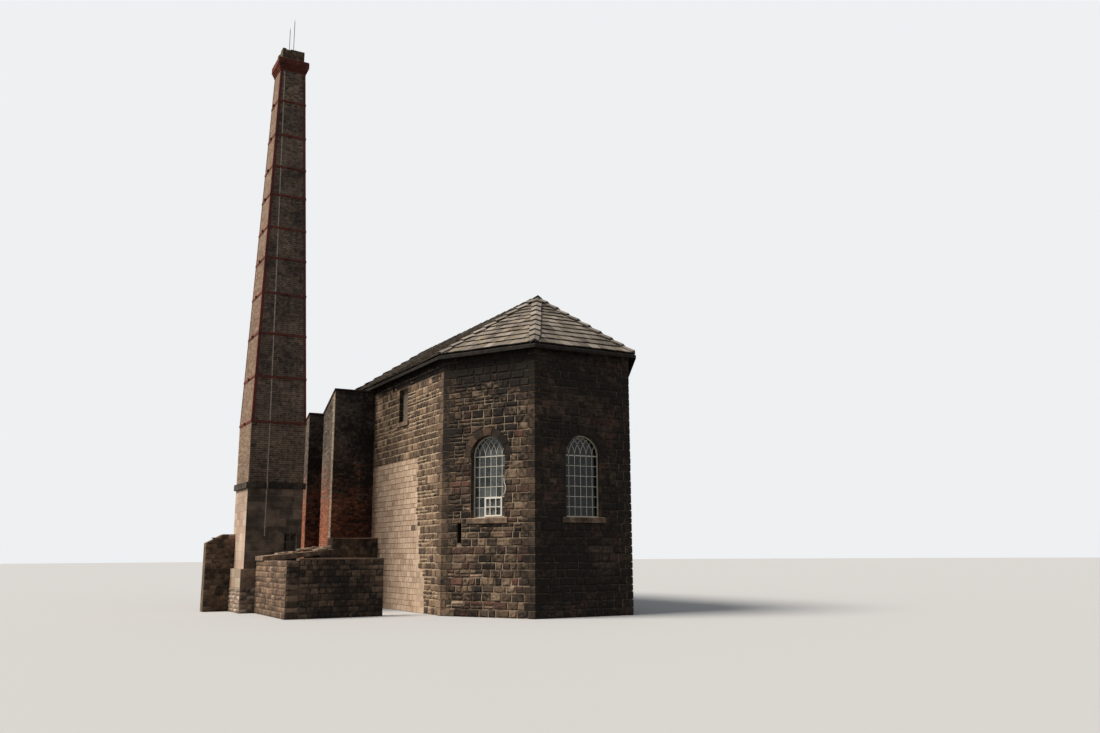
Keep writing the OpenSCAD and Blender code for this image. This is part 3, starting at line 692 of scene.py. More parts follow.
@dataclass
class Masonry:
    """Stones or bricks laid in courses on flat wall faces, each proud of its mortar."""

    joint: float
    chamfer: float
    proud: float
    crown: float = 0.0
    crown_edge: float = 0.03
    jitter: float = 0.0
    wobble: float = 0.0
    lumps: float = 9.0
    lump_start: Vector = field(default_factory=lambda: Vector((0, 0, 31.0)))
    smallest: float = 4e-4
    bm: BMesh = field(default_factory=new_mesh)

    def strip(self, lines: Sequence[float], foot: float, head: float, tint: Callable[[], Tint]) -> None:
        """Lays one run of stones side by side.

        Args:
            lines: The upright joints' places, from left to right.
            foot: Height of the lower joint.
            head: Height of the upper joint.
            tint: Gives each stone its tone.
        """
        count = len(lines) - 1
        made = ops.create_grid(
            self.bm, x_segments=count, y_segments=1, size=0.5, matrix=Matrix.Rotation(math.pi / 2, 4, "X"))
        for vert in made["verts"]:
            vert.co = Vector((lines[round((vert.co.x + 0.5) * count)], 0.0, foot if vert.co.z < 0 else head))
        for face in faces_of(made["verts"]):
            tint_faces(self.bm, [face], tint())

    def cut(self, faces: list[BMFace], point: Vector, outward: Vector) -> None:
        """Cuts stones along a plane and takes away what lies behind it.

        Args:
            faces: The stones that the cut may touch.
            point: A point on the plane.
            outward: Normal on the side that stays.
        """
        parts = [v for f in faces for v in f.verts] + [e for f in faces for e in f.edges]
        ops.bisect_plane(
            self.bm, geom=list(dict.fromkeys(parts)) + faces, dist=WELD, plane_co=point, plane_no=outward,
            clear_inner=True)

    def raise_stones(self, rng: random.Random) -> None:
        """Opens the joints and pushes each stone's face out of its mortar.

        Args:
            rng: Source of the small differences from stone to stone.
        """
        bm = self.bm
        # Each stone gets its own corners first, so that no joint is shared.
        rim = ops.inset_individual(bm, faces=bm.faces[:], thickness=self.joint / 2, use_even_offset=True)
        ops.delete(bm, geom=rim["faces"], context="FACES")
        tiny = [f for f in bm.faces if f.calc_area() < self.smallest]
        ops.delete(bm, geom=tiny, context="FACES")
        if self.wobble:
            for vert in bm.verts:
                vert.co += Vector((rng.uniform(-1, 1), 0, rng.uniform(-1, 1))) * self.wobble
        tops = bm.faces[:]
        steps = [(self.chamfer, self.proud)] + ([(self.crown_edge, self.crown)] if self.crown else [])
        for inwards, outwards in steps:
            ops.inset_individual(bm, faces=tops, thickness=inwards, depth=outwards, use_even_offset=True)
        if self.jitter:
            edges = list(dict.fromkeys(e for f in tops for e in f.edges))
            ops.subdivide_edges(bm, edges=edges, cuts=1, use_grid_fill=True)
            for vert in bm.verts:
                if vert.co.y < -0.5 * self.proud:
                    lump = noise.noise(vert.co * self.lumps + self.lump_start)
                    vert.co.y += self.jitter * (lump + rng.uniform(-0.5, 0.5))

    def back_off(self, depth: float) -> None:
        """Moves everything into the wall by a depth."""
        for vert in self.bm.verts:
            vert.co.y += depth


def joints(left: float, right: float, shortest: float, longest: float, rng: random.Random) -> list[float]:
    """Random upright joints between two ends.

    Args:
        left: First end.
        right: Last end.
        shortest: Shortest stone.
        longest: Longest stone.
        rng: Source of the lengths.

    Returns:
        The joints' places, both ends included.
    """
    lines = [left]
    while right - lines[-1] > longest:
        lines.append(lines[-1] + rng.uniform(shortest, longest))
    if len(lines) > 1 and right - lines[-1] < shortest * 0.7:
        lines[-1] = (lines[-2] + right) / 2
    return lines + [right]


def split_courses(levels: Sequence[float], height: float, rng: random.Random) -> list[tuple[float, float]]:
    """Courses of nearly one height between fixed levels.

    Args:
        levels: Heights at which a joint must run.
        height: Usual height of a course.
        rng: Source of the small differences.

    Returns:
        Foot and head of each course, from the lowest.
    """
    stray = 0.13
    courses = []
    for low, high in zip(levels, levels[1:]):
        count = max(1, round((high - low) / height))
        inner = [low + (high - low) * (i + rng.uniform(-stray, stray)) / count for i in range(1, count)]
        marks = [low] + inner + [high]
        courses += list(zip(marks, marks[1:]))
    return courses


def free_spans(
        left: float, right: float, foot: float, head: float, holes: Iterable[Rect]) -> list[tuple[float, float]]:
    """The parts of a course that no hole takes.

    Args:
        left: First end of the course.
        right: Last end of the course.
        foot: Its lower joint.
        head: Its upper joint.
        holes: What it has to leave free.

    Returns:
        Pairs of ends, from left to right.
    """
    overlap, shortest = 0.05, 0.06
    spans = [(left, right)]
    for hole in holes:
        if min(head, hole.head) - max(foot, hole.foot) < overlap:
            continue
        parts = [part for a, b in spans for part in ((a, min(b, hole.left)), (max(a, hole.right), b))]
        spans = [(a, b) for a, b in parts if b - a > shortest]
    return spans


@dataclass(frozen=True)
class ArchedOpening:
    """One arched window of the house, as its stones, bars and panes see it."""

    half_width: float = 0.735
    sill: float = 3.46
    spring: float = 5.67
    ring: float = 0.3
    stones: int = 7
    sill_half: float = 0.88
    sill_height: float = 0.2

    def jambs(self) -> Rect:
        """The upright part of the window."""
        return Rect(-self.half_width, self.half_width, self.sill, self.spring)

    def holes(self) -> list[Rect]:
        """What the wall's stones leave free below the springing."""
        return [self.jambs(), Rect(-self.sill_half, self.sill_half, self.sill - self.sill_height, self.sill)]

    def backs(self) -> list[tuple[Vector, Vector]]:
        """A point and the outward normal of each arch stone's back, in the wall's own lines."""
        step = math.pi / self.stones
        near = (self.half_width + self.ring) * math.cos(step / 2)
        ways = [(math.cos(step * (i + 0.5)), math.sin(step * (i + 0.5))) for i in range(self.stones)]
        return [(Vector((near * x, 0, self.spring + near * z)), Vector((x, 0, z))) for x, z in ways]

    def reaches(self, stone: BMFace) -> bool:
        """Whether a stone of the wall may reach under the arch stones."""
        outer, foot = self.half_width + self.ring, self.spring - 0.01
        corners = [v.co for v in stone.verts]
        touches = any(abs(c.x) < outer and foot < c.z < self.spring + outer for c in corners)
        above = max(c.z for c in corners) >= self.spring + 0.02
        across = min(c.x for c in corners) < 0 < max(c.x for c in corners)
        return (touches and above) or (across and foot < stone.calc_center_median().z < self.spring + outer)

    def trim(self, masonry: Masonry) -> None:
        """Cuts the wall's stones to the backs of the arch stones."""
        backs = self.backs()
        ops.split_edges(masonry.bm, edges=masonry.bm.edges[:])
        work: dict[int, list[BMFace]] = {}
        for stone in masonry.bm.faces:
            if self.reaches(stone):
                centre = stone.calc_center_median()
                sides = [(centre - point).dot(normal) for point, normal in backs]
                work.setdefault(sides.index(max(sides)), []).append(stone)
        for index, stones in work.items():
            masonry.cut([s for s in stones if s.is_valid], *backs[index])


OPENING = ArchedOpening()


@dataclass(frozen=True)
class WallStyle:
    """How the stones of one wall are laid, and how much soot and painted shade they hold.

    double is the share of stones laid as two thin ones, dark the share that is nearly black, high the darkening added
    towards the top, soot and on the front left wall painted eaves shadow, and eaves that added under the roof, soot and
    painted eaves shadow. palest and deepest bound the tones. shaded gives the depth of the painted eaves shadow, a
    black strip under the eaves, at the wall's two ends.
    """

    node: str
    pointing: Finish
    soot: float
    shortest: float = 0.3
    longest: float = 0.72
    joint: float = 0.022
    double: float = 0.2
    dark: float = 0.3
    high: float = 0.3
    eaves: float = 0.1
    palest: float = 0.0
    deepest: float = 1.0
    sootiest: float = 0.95
    shaded: tuple[float, float] = (0.0, 0.0)


# A wall's soot share is soot and, on the faces away from the key light, painted shade; the front one is darkest.
STYLES = {
    Face.LEFT: WallStyle(
        "side_wall_left", Finish.POINTING, soot=-0.1, shortest=0.16, longest=0.4, joint=0.036, double=0.5, dark=0.22,
        high=0.03, eaves=0.0, deepest=0.7, shaded=(0.15, 0.8)),
    Face.FRONT_LEFT: WallStyle(
        "front_wall_left", Finish.GREY_POINTING, soot=0.48, shortest=0.22, longest=0.6, joint=0.026, double=0.3,
        dark=0.35, high=0.42, shaded=(0.8, 1.75)),
    Face.FRONT: WallStyle(
        "front_wall_middle", Finish.DARK_POINTING, soot=0.95, shortest=0.25, longest=0.65, dark=0.1, high=0.1,
        palest=0.5, sootiest=1.15),
    Face.FRONT_RIGHT: WallStyle("front_wall_right", Finish.DARK_POINTING, soot=0.65, dark=0.15, high=0.2),
    Face.RIGHT: WallStyle(
        "side_wall_right", Finish.GREY_POINTING, soot=0.4, shortest=0.2, longest=0.5, joint=0.028, double=0.35),
    Face.REAR_RIGHT: WallStyle("rear_wall_right", Finish.GREY_POINTING, soot=0.4),
    Face.REAR: WallStyle("rear_wall_middle", Finish.DARK_POINTING, soot=0.5),
    Face.REAR_LEFT: WallStyle("rear_wall_left", Finish.GREY_POINTING, soot=0.35),
}


@dataclass
class HouseWalls:
    """The house's eight walls: rough squared stones in courses, quoins at every corner, arch stones and sills."""

    rng: random.Random = seeded(11)
    upper_window: Rect = Rect(-0.5, 0.5, 7.59, 8.97)
    upper_place: float = 4.27
    upper_lug: float = 0.16
    upper_sill: float = 0.2
    lintel_ends: tuple[float, float] = (-0.72, 0.7)
    lintel_soot_height: float = 6.0
    slot: Rect = Rect(-1.32, -1.12, 2.58, 3.30)
    infill_edges: tuple[tuple[float, float], ...] = ((3.1, 2.55), (1.6, 2.2), (0.0, 1.7))
    infill_top: float = 5.95
    infill_depth: float = 0.025
    infill_course: float = 0.22
    infill_lap: float = 0.06
    infill_wave: float = 0.002
    damp_block: tuple[float, float] = (-2.86, 3.165)
    damp_tint: Tint = (0.8, 0.5, 0.9)
    pier_front: float = 7.85
    pier_length: float = 1.65
    course: float = 0.275
    thin_stone: float = 0.25
    proud: float = 0.01
    sooty_from: float = 4.6
    sooty_over: float = 2.4
    eaves_from: float = 7.9
    quoin_out: float = 0.022
    quoin_sunk: float = 0.02
    quoin_gap: float = 0.011
    quoin_soot: float = 0.06
    arch_out: float = 0.034
    key_out: float = 0.012
    arch_sunk: float = 0.02
    arch_gap: float = 0.009
    arch_tint_height: float = 4.0
    arch_soot: float = 0.14
    arch_shade: float = 0.8
    lining: float = 0.008
    lining_lap: float = 0.004

    def __post_init__(self) -> None:
        """Lays out the courses that all walls and quoins share."""
        levels = [
            0.0, OPENING.sill - OPENING.sill_height, OPENING.sill, OPENING.spring, self.infill_top,
            self.upper_window.foot - self.upper_sill, self.upper_window.foot, self.upper_window.head, HOUSE.wall_top]
        self.courses = split_courses(levels, self.course, self.rng)
        self.legs = [[self.leg(i) for i in range(len(self.courses))] for _ in FACES]

    def leg(self, course: int) -> tuple[float, float]:
        """Lengths of a quoin's two legs: long on one face, short on the other, in turn."""
        long, short = self.rng.uniform(0.42, 0.62), self.rng.uniform(0.2, 0.3)
        return (long, short) if course % 2 else (short, long)

    def held_soot(self, face: Face, height: float) -> float:
        """Darkening that the stones of a face hold at a height: soot, and painted shade away from the light and under
        the eaves.
        """
        style = STYLES[face]
        high = style.high * clamp((height - self.sooty_from) / self.sooty_over)
        return style.soot + high + (style.eaves if height > self.eaves_from else 0.0)

    def stone_tint(self, face: Face, height: float) -> Tint:
        """A stone's tone, value and darkening share, soot and painted shade, on a face at a height."""
        style = STYLES[face]
        dark = self.rng.random() < style.dark
        spread = self.rng.uniform(0.2, 0.45) if dark else self.rng.uniform(-0.22, 0.12)
        soot = clamp(self.held_soot(face, height) + spread, high=style.sootiest)
        return self.rng.uniform(style.palest, style.deepest), self.rng.random(), soot

    def upper_hole(self, face: Face) -> Rect:
        """The upper window of a long wall, in the wall's own lines."""
        place = -self.upper_place if face == Face.LEFT else self.upper_place
        window = self.upper_window
        return Rect(place + window.left, place + window.right, window.foot, window.head)

    def lintel(self, face: Face) -> Rect:
        """The long stone over the upper window of a long wall."""
        place = -self.upper_place if face == Face.LEFT else self.upper_place
        foot, head = next(c for c in self.courses if c[0] >= self.upper_window.head - 0.01)
        return Rect(place + self.lintel_ends[0], place + self.lintel_ends[1], foot, head)

    def holes(self, face: Face) -> list[Rect]:
        """What the stones of a face leave free."""
        if face in ARCHED:
            return OPENING.holes() + ([self.slot] if face == Face.FRONT_LEFT else [])
        hole, lug = self.upper_hole(face), self.upper_lug
        sill = Rect(hole.left - lug, hole.right + lug, hole.foot - self.upper_sill, hole.foot)
        return [hole, sill, self.lintel(face)]

    def infill_limit(self, height: float) -> float:
        """Where the smooth infill's toothed edge runs, in the left wall's own lines."""
        return -next((edge for foot, edge in self.infill_edges if height > foot), self.infill_edges[-1][1])

    def blacken_top(self, bm: BMesh, face: Face) -> None:
        """Paints the eaves' shadow: blackens the stones below the eaves, down to a line that slants along the wall.

        Args:
            bm: The wall's stones, in its own lines.
            face: The wall's face.
        """
        left, right = HOUSE.ends(face)
        near, far = STYLES[face].shaded
        layer = bm.faces.layers.float_vector[TINT]
        for stone in bm.faces:
            middle = stone.calc_center_median()
            depth = near + (far - near) * (middle.x - left) / (right - left)
            if middle.z > HOUSE.wall_top - depth:
                pick, value, soot = stone[layer]
                stone[layer] = (pick, value, max(soot, EAVES_SHADOW_SHARE))

    def lay_span(self, masonry: Masonry, face: Face, start: float, end: float, foot: float, head: float) -> None:
        """Lays the stones of one free stretch of a course, in places two thin ones for one.

        Args:
            masonry: The wall's stones.
            face: The wall's face.
            start: First end of the stretch.
            end: Last end.
            foot: Lower joint of the course.
            head: Upper joint.
        """
        style = STYLES[face]
        tint = lambda: self.stone_tint(face, foot)
        lines = joints(start, end, style.shortest, style.longest, self.rng)
        if self.rng.random() >= style.double or head - foot <= self.thin_stone:
            masonry.strip(lines, foot, head, tint)
            return
        middle = (foot + head) / 2 + self.rng.uniform(-0.02, 0.02)
        cut = self.rng.randrange(1, len(lines)) if len(lines) > 2 else 1
        masonry.strip(lines[:cut + 1], foot, middle, tint)
        masonry.strip(lines[:cut + 1], middle, head, tint)
        if len(lines[cut:]) > 1:
            masonry.strip(lines[cut:], foot, head, tint)

    def build_face(self, face: Face) -> None:
        """Lays the rough stones of one wall."""
        left, right = HOUSE.ends(face)
        number = FACES.index(face)
        masonry = Masonry(
            joint=STYLES[face].joint, chamfer=0.01, proud=self.proud, crown=0.02, jitter=0.014, wobble=0.008)
        for i, (foot, head) in enumerate(self.courses):
            taken = self.holes(face)
            if face == Face.LEFT and foot < self.infill_top - 0.05:
                edge = self.infill_limit(foot) + self.rng.uniform(-0.1, 0.1)
                taken.append(Rect(-self.pier_front - self.pier_length, edge, 0, self.infill_top))
            ends = left + self.legs[number - 1][i][1], right - self.legs[number][i][0]
            for start, end in free_spans(*ends, foot, head, taken):
                self.lay_span(masonry, face, start, end, foot, head)
        if face in LONG:
            stone = self.lintel(face)
            masonry.strip(
                [stone.left, stone.right], stone.foot, stone.head,
                lambda: self.stone_tint(face, self.lintel_soot_height))
        else:
            OPENING.trim(masonry)
        masonry.raise_stones(self.rng)
        self.blacken_top(masonry.bm, face)
        ops.transform(masonry.bm, matrix=HOUSE.onto(face), verts=masonry.bm.verts)
        finish_piece(masonry.bm, "stones_" + face.name.lower(), Finish.GRITSTONE)

    def quoin_plan(self, face: Face, after: Face, legs: tuple[float, float], out: float) -> list[Vector]:
        """Plan of a corner stone, wrapped round the corner between two faces.

        Args:
            face: The face before the corner.
            after: The face after it.
            legs: Lengths of the stone's two legs.
            out: How far it stands out.

        Returns:
            Its corners, in the house's own lines.
        """
        root, sunk = HOUSE.corner(face), self.quoin_sunk
        first, second = root - HOUSE.along(face) * legs[0], root + HOUSE.along(after) * legs[1]
        one, other = HOUSE.normal(face), HOUSE.normal(after)
        return [
            first - one * sunk, HOUSE.corner(face, -sunk), second - other * sunk, second + other * out,
            HOUSE.corner(face, out), first + one * out]

    def build_quoins(self) -> None:
        """Sets the corner stones; each face of one holds the soot and painted shade of its own wall, and the painted
        eaves shadow near the top.
        """
        bm = new_mesh()
        gap = self.quoin_gap
        for number, face in enumerate(FACES):
            after = HOUSE.next_face(face)
            for i, (foot, head) in enumerate(self.courses):
                out = self.proud + self.quoin_out + self.rng.uniform(0, 0.006)
                low = HOUSE.place + Vector((0, 0, foot + gap))
                plan = [point + low for point in self.quoin_plan(face, after, self.legs[number][i], out)]
                stone = faces_of(add_prism(bm, plan, Vector((0, 0, head - foot - 2 * gap))))
                pick, value, soot = self.stone_tint(face, foot)
                other = max(0.0, soot - self.held_soot(face, foot) + self.held_soot(after, foot))
                ops.recalc_face_normals(bm, faces=stone)
                for side, held, end in ((face, soot, 1), (after, other, 0)):
                    shown = [f for f in stone if f.normal.dot(HOUSE.normal(side)) > 0.9]
                    # Near the top the face takes the painted eaves shadow.
                    if foot > HOUSE.wall_top - STYLES[side].shaded[end]:
                        held = EAVES_SHADOW_SHARE
                    tint_faces(bm, shown, (0.2 + 0.6 * pick, value, held + self.quoin_soot))
        ease_arrises(bm, 0.016, 1.2, segments=2)
        wear_shape(bm, 7.0, 0.008)
        for vert in bm.verts:
            vert.co.z = max(vert.co.z, 0.002)
        finish_piece(bm, "quoins", Finish.GRITSTONE)

    def infill_tint(self) -> Tint:
        """An infill block's tone, value and soot share; one in twenty is dirty."""
        tone, value = self.rng.random(), self.rng.random()
        return tone, value, 0.35 if self.rng.random() < 0.05 else self.rng.uniform(-0.25, 0.05)

    def build_infill(self) -> None:
        """Lays the smoother, closer jointed blocks that fill the left wall's old opening."""
        masonry = Masonry(joint=0.012, chamfer=0.006, proud=0.03)
        place, height = self.damp_block
        for foot, head in split_courses([0.0, self.infill_top], self.infill_course, self.rng):
            lines = joints(-self.pier_front, self.infill_limit(foot) + self.infill_lap, 0.2, 0.46, self.rng)
            runs = [lines]
            if foot <= height < head:
                # One block is painted black as the shade in a small hole.
                block = sum(x <= place for x in lines)
                masonry.strip(lines[block - 1:block + 1], foot, head, lambda: self.damp_tint)
                runs = [run for run in (lines[:block], lines[block:]) if len(run) > 1]
            for run in runs:
                masonry.strip(run, foot, head, self.infill_tint)
        masonry.raise_stones(self.rng)
        masonry.back_off(self.infill_depth)
        for vert in masonry.bm.verts:
            vert.co.y += self.infill_wave * noise.noise(vert.co * 3.0)
        ops.transform(masonry.bm, matrix=HOUSE.onto(Face.LEFT), verts=masonry.bm.verts)
        finish_piece(masonry.bm, "infill_blocks", Finish.INFILL)

    def build_arch_stones(self) -> None:
        """Makes the arch stones of the six windows, seven to an arch."""
        bm = new_mesh()
        inner, outer = OPENING.half_width, OPENING.half_width + OPENING.ring
        step = math.pi / OPENING.stones
        for face in ARCHED:
            fresh: list[BMVert] = []
            for i in range(OPENING.stones):
                a, b = i * step + self.arch_gap, (i + 1) * step - self.arch_gap
                key = i == OPENING.stones // 2
                out = self.arch_out + (self.key_out if key else self.rng.uniform(-0.004, 0.004))
                rim = [(inner, a + (b - a) * t / 4) for t in range(5)] + [(outer, b), (outer, a)]
                plan = [(r * math.cos(turn), self.arch_sunk, OPENING.spring + r * math.sin(turn)) for r, turn in rim]
                stone = add_prism(bm, plan, Vector((0, -self.arch_sunk - out, 0)))
                pick, value, soot = self.stone_tint(face, self.arch_tint_height)
                tint_faces(bm, faces_of(stone), (pick, self.arch_shade * value, soot + self.arch_soot))
                fresh += stone
            ops.transform(bm, matrix=HOUSE.onto(face), verts=fresh)
        ease_arrises(bm, 0.008, 1.2)
        finish_piece(bm, "arch_stones", Finish.DRESSED)

    def line_hole(self, bm: BMesh, face: Face, hole: Rect, depth: float, soot: float, back: bool = False) -> None:
        """Faces the sides of a hole in a wall with thin dressed stones.

        Args:
            bm: Mesh that takes them.
            face: The wall's face.
            hole: The hole.
            depth: How far they reach into the wall.
            soot: How sooty they are; in the slot it paints the shade in its depth.
            back: Whether the hole ends in the wall, so that its back is faced too.
        """
        thin, lap, gap = self.lining, self.lining_lap, 0.01
        fresh: list[BMVert] = []
        marks = [z for z, _ in self.courses if hole.foot + 0.05 < z < hole.head - 0.05]
        boxes = [(hole.left, hole.left + thin, -lap, depth), (hole.right - thin, hole.right, -lap, depth)]
        if back:
            boxes.append((hole.left, hole.right, depth - 0.01, depth - 0.001))
        for foot, head in zip([hole.foot] + marks, marks + [hole.head]):
            for left, right, near, far in boxes:
                stone = add_block(
                    bm, (right - left, far - near, head - foot - gap),
                    ((left + right) / 2, (near + far) / 2, (foot + head) / 2))
                tint_faces(bm, faces_of(stone), random_tint(self.rng, soot, -0.15, 0.15))
                fresh += stone
        ops.transform(bm, matrix=HOUSE.onto(face), verts=fresh)

    def build_linings(self) -> None:
        """Faces the jambs of all windows and the dark slot in the front left wall."""
        bm = new_mesh()
        for face in FACES:
            if face in ARCHED:
                self.line_hole(bm, face, OPENING.jambs(), depth=0.195, soot=0.55)
            else:
                self.line_hole(bm, face, self.upper_hole(face), depth=0.175, soot=0.75)
        # The slot's sides and back are painted nearly black as the shade in its depth.
        self.line_hole(bm, Face.FRONT_LEFT, self.slot, depth=0.218, soot=0.95, back=True)
        finish_piece(bm, "jamb_stones", Finish.DRESSED)

    def build(self) -> None:
        """Builds every wall and dresses the walls' own solids as mortar."""
        for face in FACES:
            self.build_face(face)
        self.build_linings()
        self.build_quoins()
        self.build_infill()
        self.build_arch_stones()
        for style in STYLES.values():
            dress(style.pointing, style.node)
        dress(Finish.DARK_POINTING, "window_arches")
        dress(Finish.SILL, "window_sills", "upper_sills")
        dress(Finish.FLAGS, "floor")


# The lowest and highest painted reflection on the panes of a face: bright on the front left one, dark on the front one.
PANE_REFLECTION = {Face.FRONT_LEFT: (0.3, 1.0), Face.FRONT: (-0.3, 0.25)}
USUAL_REFLECTION = (0.2, 0.75)


@dataclass
class Windows:
    """Bars, intersecting tracery, panes and the boards of the upper windows."""

    rng: random.Random = seeded(91)
    columns: int = 6
    rows: int = 6
    bar: float = 0.02
    springing_bar: float = 0.04
    tracery: float = 0.017
    tracery_step: float = 0.12
    rim: float = 0.045
    depth: float = 0.232
    bar_depth: float = 0.032
    light: Rect = Rect(-0.24, 0.51, 3.505, 4.195)
    light_rim: float = 0.055
    light_bar: float = 0.024
    light_out: float = 0.05
    stay: tuple[tuple[float, float], ...] = (
        (0.49, 4.17), (0.62, 4.19), (0.73, 4.24), (0.8, 4.32), (0.835, 4.44), (0.83, 4.56), (0.78, 4.66), (0.76, 4.84))
    stay_radius: float = 0.014
    stay_depth: float = -0.08
    stay_sides: int = 8
    pane: float = 0.004
    pane_tilt: float = 0.012
    head_rows: int = 3
    head_cuts: int = 14

    def __post_init__(self) -> None:
        """Works out where the bars stand."""
        step = 2 * OPENING.half_width / self.columns
        self.pitch = (OPENING.spring - OPENING.sill) / self.rows
        self.uprights = [-OPENING.half_width + i * step for i in range(1, self.columns)]

    def bar_box(self, bm: BMesh, left: float, right: float, foot: float, head: float) -> None:
        """Adds one straight bar in the glass."""
        add_block(bm, (right - left, self.bar_depth, head - foot), ((left + right) / 2, self.depth, (foot + head) / 2))

    def arc(self, bm: BMesh, foot: float, side: int) -> None:
        """Adds one curved bar of the tracery, from a bar's head over to the rim.

        Args:
            bm: Mesh that takes it.
            foot: Place of its foot along the window.
            side: 1 to lean right, -1 to lean left.
        """
        radius = OPENING.half_width
        centre = foot + side * radius
        reach = math.acos(min(1.0, abs(centre) / 2 / radius)) if abs(centre) > 1e-6 else math.pi / 2
        half, deep = self.tracery / 2, self.bar_depth / 2
        section = ((-half, -deep), (half, -deep), (half, deep), (-half, deep))
        verts = [bm.verts.new((foot + x, self.depth + y, OPENING.spring)) for x, y in section]
        ops.spin(
            bm, geom=[bm.faces.new(verts)], cent=(centre, 0, OPENING.spring), axis=(0, side, 0), angle=reach,
            steps=max(3, round(reach / self.tracery_step)))

    def build_bars(self) -> None:
        """Builds the bars of all six arched windows as one piece."""
        bm = new_mesh()
        side = OPENING.half_width - self.rim / 2
        for face in ARCHED:
            part = bmesh.new()
            for place in self.uprights:
                half = self.bar / 2
                self.bar_box(part, place - half, place + half, OPENING.sill + self.rim, OPENING.spring)
                self.arc(part, place, 1)
                self.arc(part, place, -1)
            for j in range(1, self.rows + 1):
                half = (self.bar if j < self.rows else self.springing_bar) / 2
                level = OPENING.sill + j * self.pitch
                self.bar_box(part, -side, side, level - half, level + half)
            ops.recalc_face_normals(part, faces=part.faces[:])
            join(bm, part, HOUSE.onto(face))
        finish_piece(bm, "window_bars", Finish.WINDOW_PAINT)

    def build_light(self) -> None:
        """Builds the opening light's own bars and the bent stay that holds it."""
        bm = new_mesh()
        light, rim, half = self.light, self.light_rim, self.light_bar / 2
        for place in self.uprights:
            if light.left + rim < place < light.right - rim:
                self.bar_box(bm, place - half, place + half, light.foot + rim, light.head - rim)
        level = (light.foot + light.head) / 2
        self.bar_box(bm, light.left + rim, light.right - rim, level - half, level + half)
        ops.translate(bm, vec=(0, -self.light_out, 0), verts=bm.verts)
        rings = [ops.create_circle(bm, segments=self.stay_sides, radius=self.stay_radius)["verts"] for _ in self.stay]
        for ring, (x, z) in zip(rings, self.stay):
            ops.translate(bm, vec=(x, self.stay_depth, z), verts=ring)
        for low, high in zip(rings, rings[1:]):
            for a in range(self.stay_sides):
                b = (a + 1) % self.stay_sides
                bm.faces.new((low[a], low[b], high[b], high[a]))
        ops.recalc_face_normals(bm, faces=bm.faces[:])
        ops.transform(bm, matrix=HOUSE.onto(Face.FRONT_LEFT), verts=bm.verts)
        finish_piece(bm, "light_bars", Finish.FRESH_PAINT)

    def pane_grid(self) -> BMesh:
        """The panes of one window as a flat sheet, cut to the arch, in the wall's own lines."""
        clear = OPENING.half_width - self.rim
        across = [-clear] + self.uprights + [clear]
        upward = [OPENING.sill + self.rim] + [OPENING.sill + j * self.pitch for j in range(1, self.rows + 1)]
        upward += [OPENING.spring + clear * j / self.head_rows for j in range(1, self.head_rows + 1)]
        rows = len(upward) - 1
        part = new_mesh()
        for vert in ops.create_grid(part, x_segments=self.columns, y_segments=rows, size=0.5)["verts"]:
            column, row = round((vert.co.x + 0.5) * self.columns), round((vert.co.y + 0.5) * rows)
            vert.co = Vector((across[column], self.depth, upward[row]))
        for k in range(self.head_cuts):
            turn = math.pi * (k + 0.5) / self.head_cuts
            away = Vector((math.cos(turn), 0, math.sin(turn)))
            ops.bisect_plane(
                part, geom=whole(part), dist=WELD, plane_no=away, clear_outer=True,
                plane_co=Vector((0, 0, OPENING.spring)) + away * clear)
        ops.split_edges(part, edges=part.edges[:])
        return part

    def build_panes(self) -> None:
        """Sets the panes of all six arched windows, each a little out of true and with its own painted reflection."""
        bm = new_mesh()
        rng, tilt = self.rng, self.pane_tilt
        for face in ARCHED:
            low, high = PANE_REFLECTION.get(face, USUAL_REFLECTION)
            part = self.pane_grid()
            for glass in part.faces[:]:
                tint_faces(part, [glass], (rng.uniform(low, high), rng.random(), 0.0))
                lean = Matrix.Rotation(rng.uniform(-1, 1) * tilt, 3, "X") @ \
                    Matrix.Rotation(rng.uniform(-1, 1) * tilt, 3, "Z")
                ops.rotate(part, cent=glass.calc_center_median(), matrix=lean, verts=glass.verts[:])
            ops.solidify(part, geom=part.faces[:], thickness=self.pane)
            ops.recalc_face_normals(part, faces=part.faces[:])
            join(bm, part, HOUSE.onto(face))
        finish_piece(bm, "window_panes", Finish.GLASS, ("window_glass",))

    def build(self) -> None:
        """Builds the bars and dresses the windows' solids."""
        self.build_bars()
        self.build_light()
        self.build_panes()
        dress(Finish.WINDOW_PAINT, "window_frames")
        dress(Finish.FRESH_PAINT, "opening_light")
        dress(Finish.GLASS, "window_glass")
        dress(Finish.BOARD_PAINT, "upper_boards")


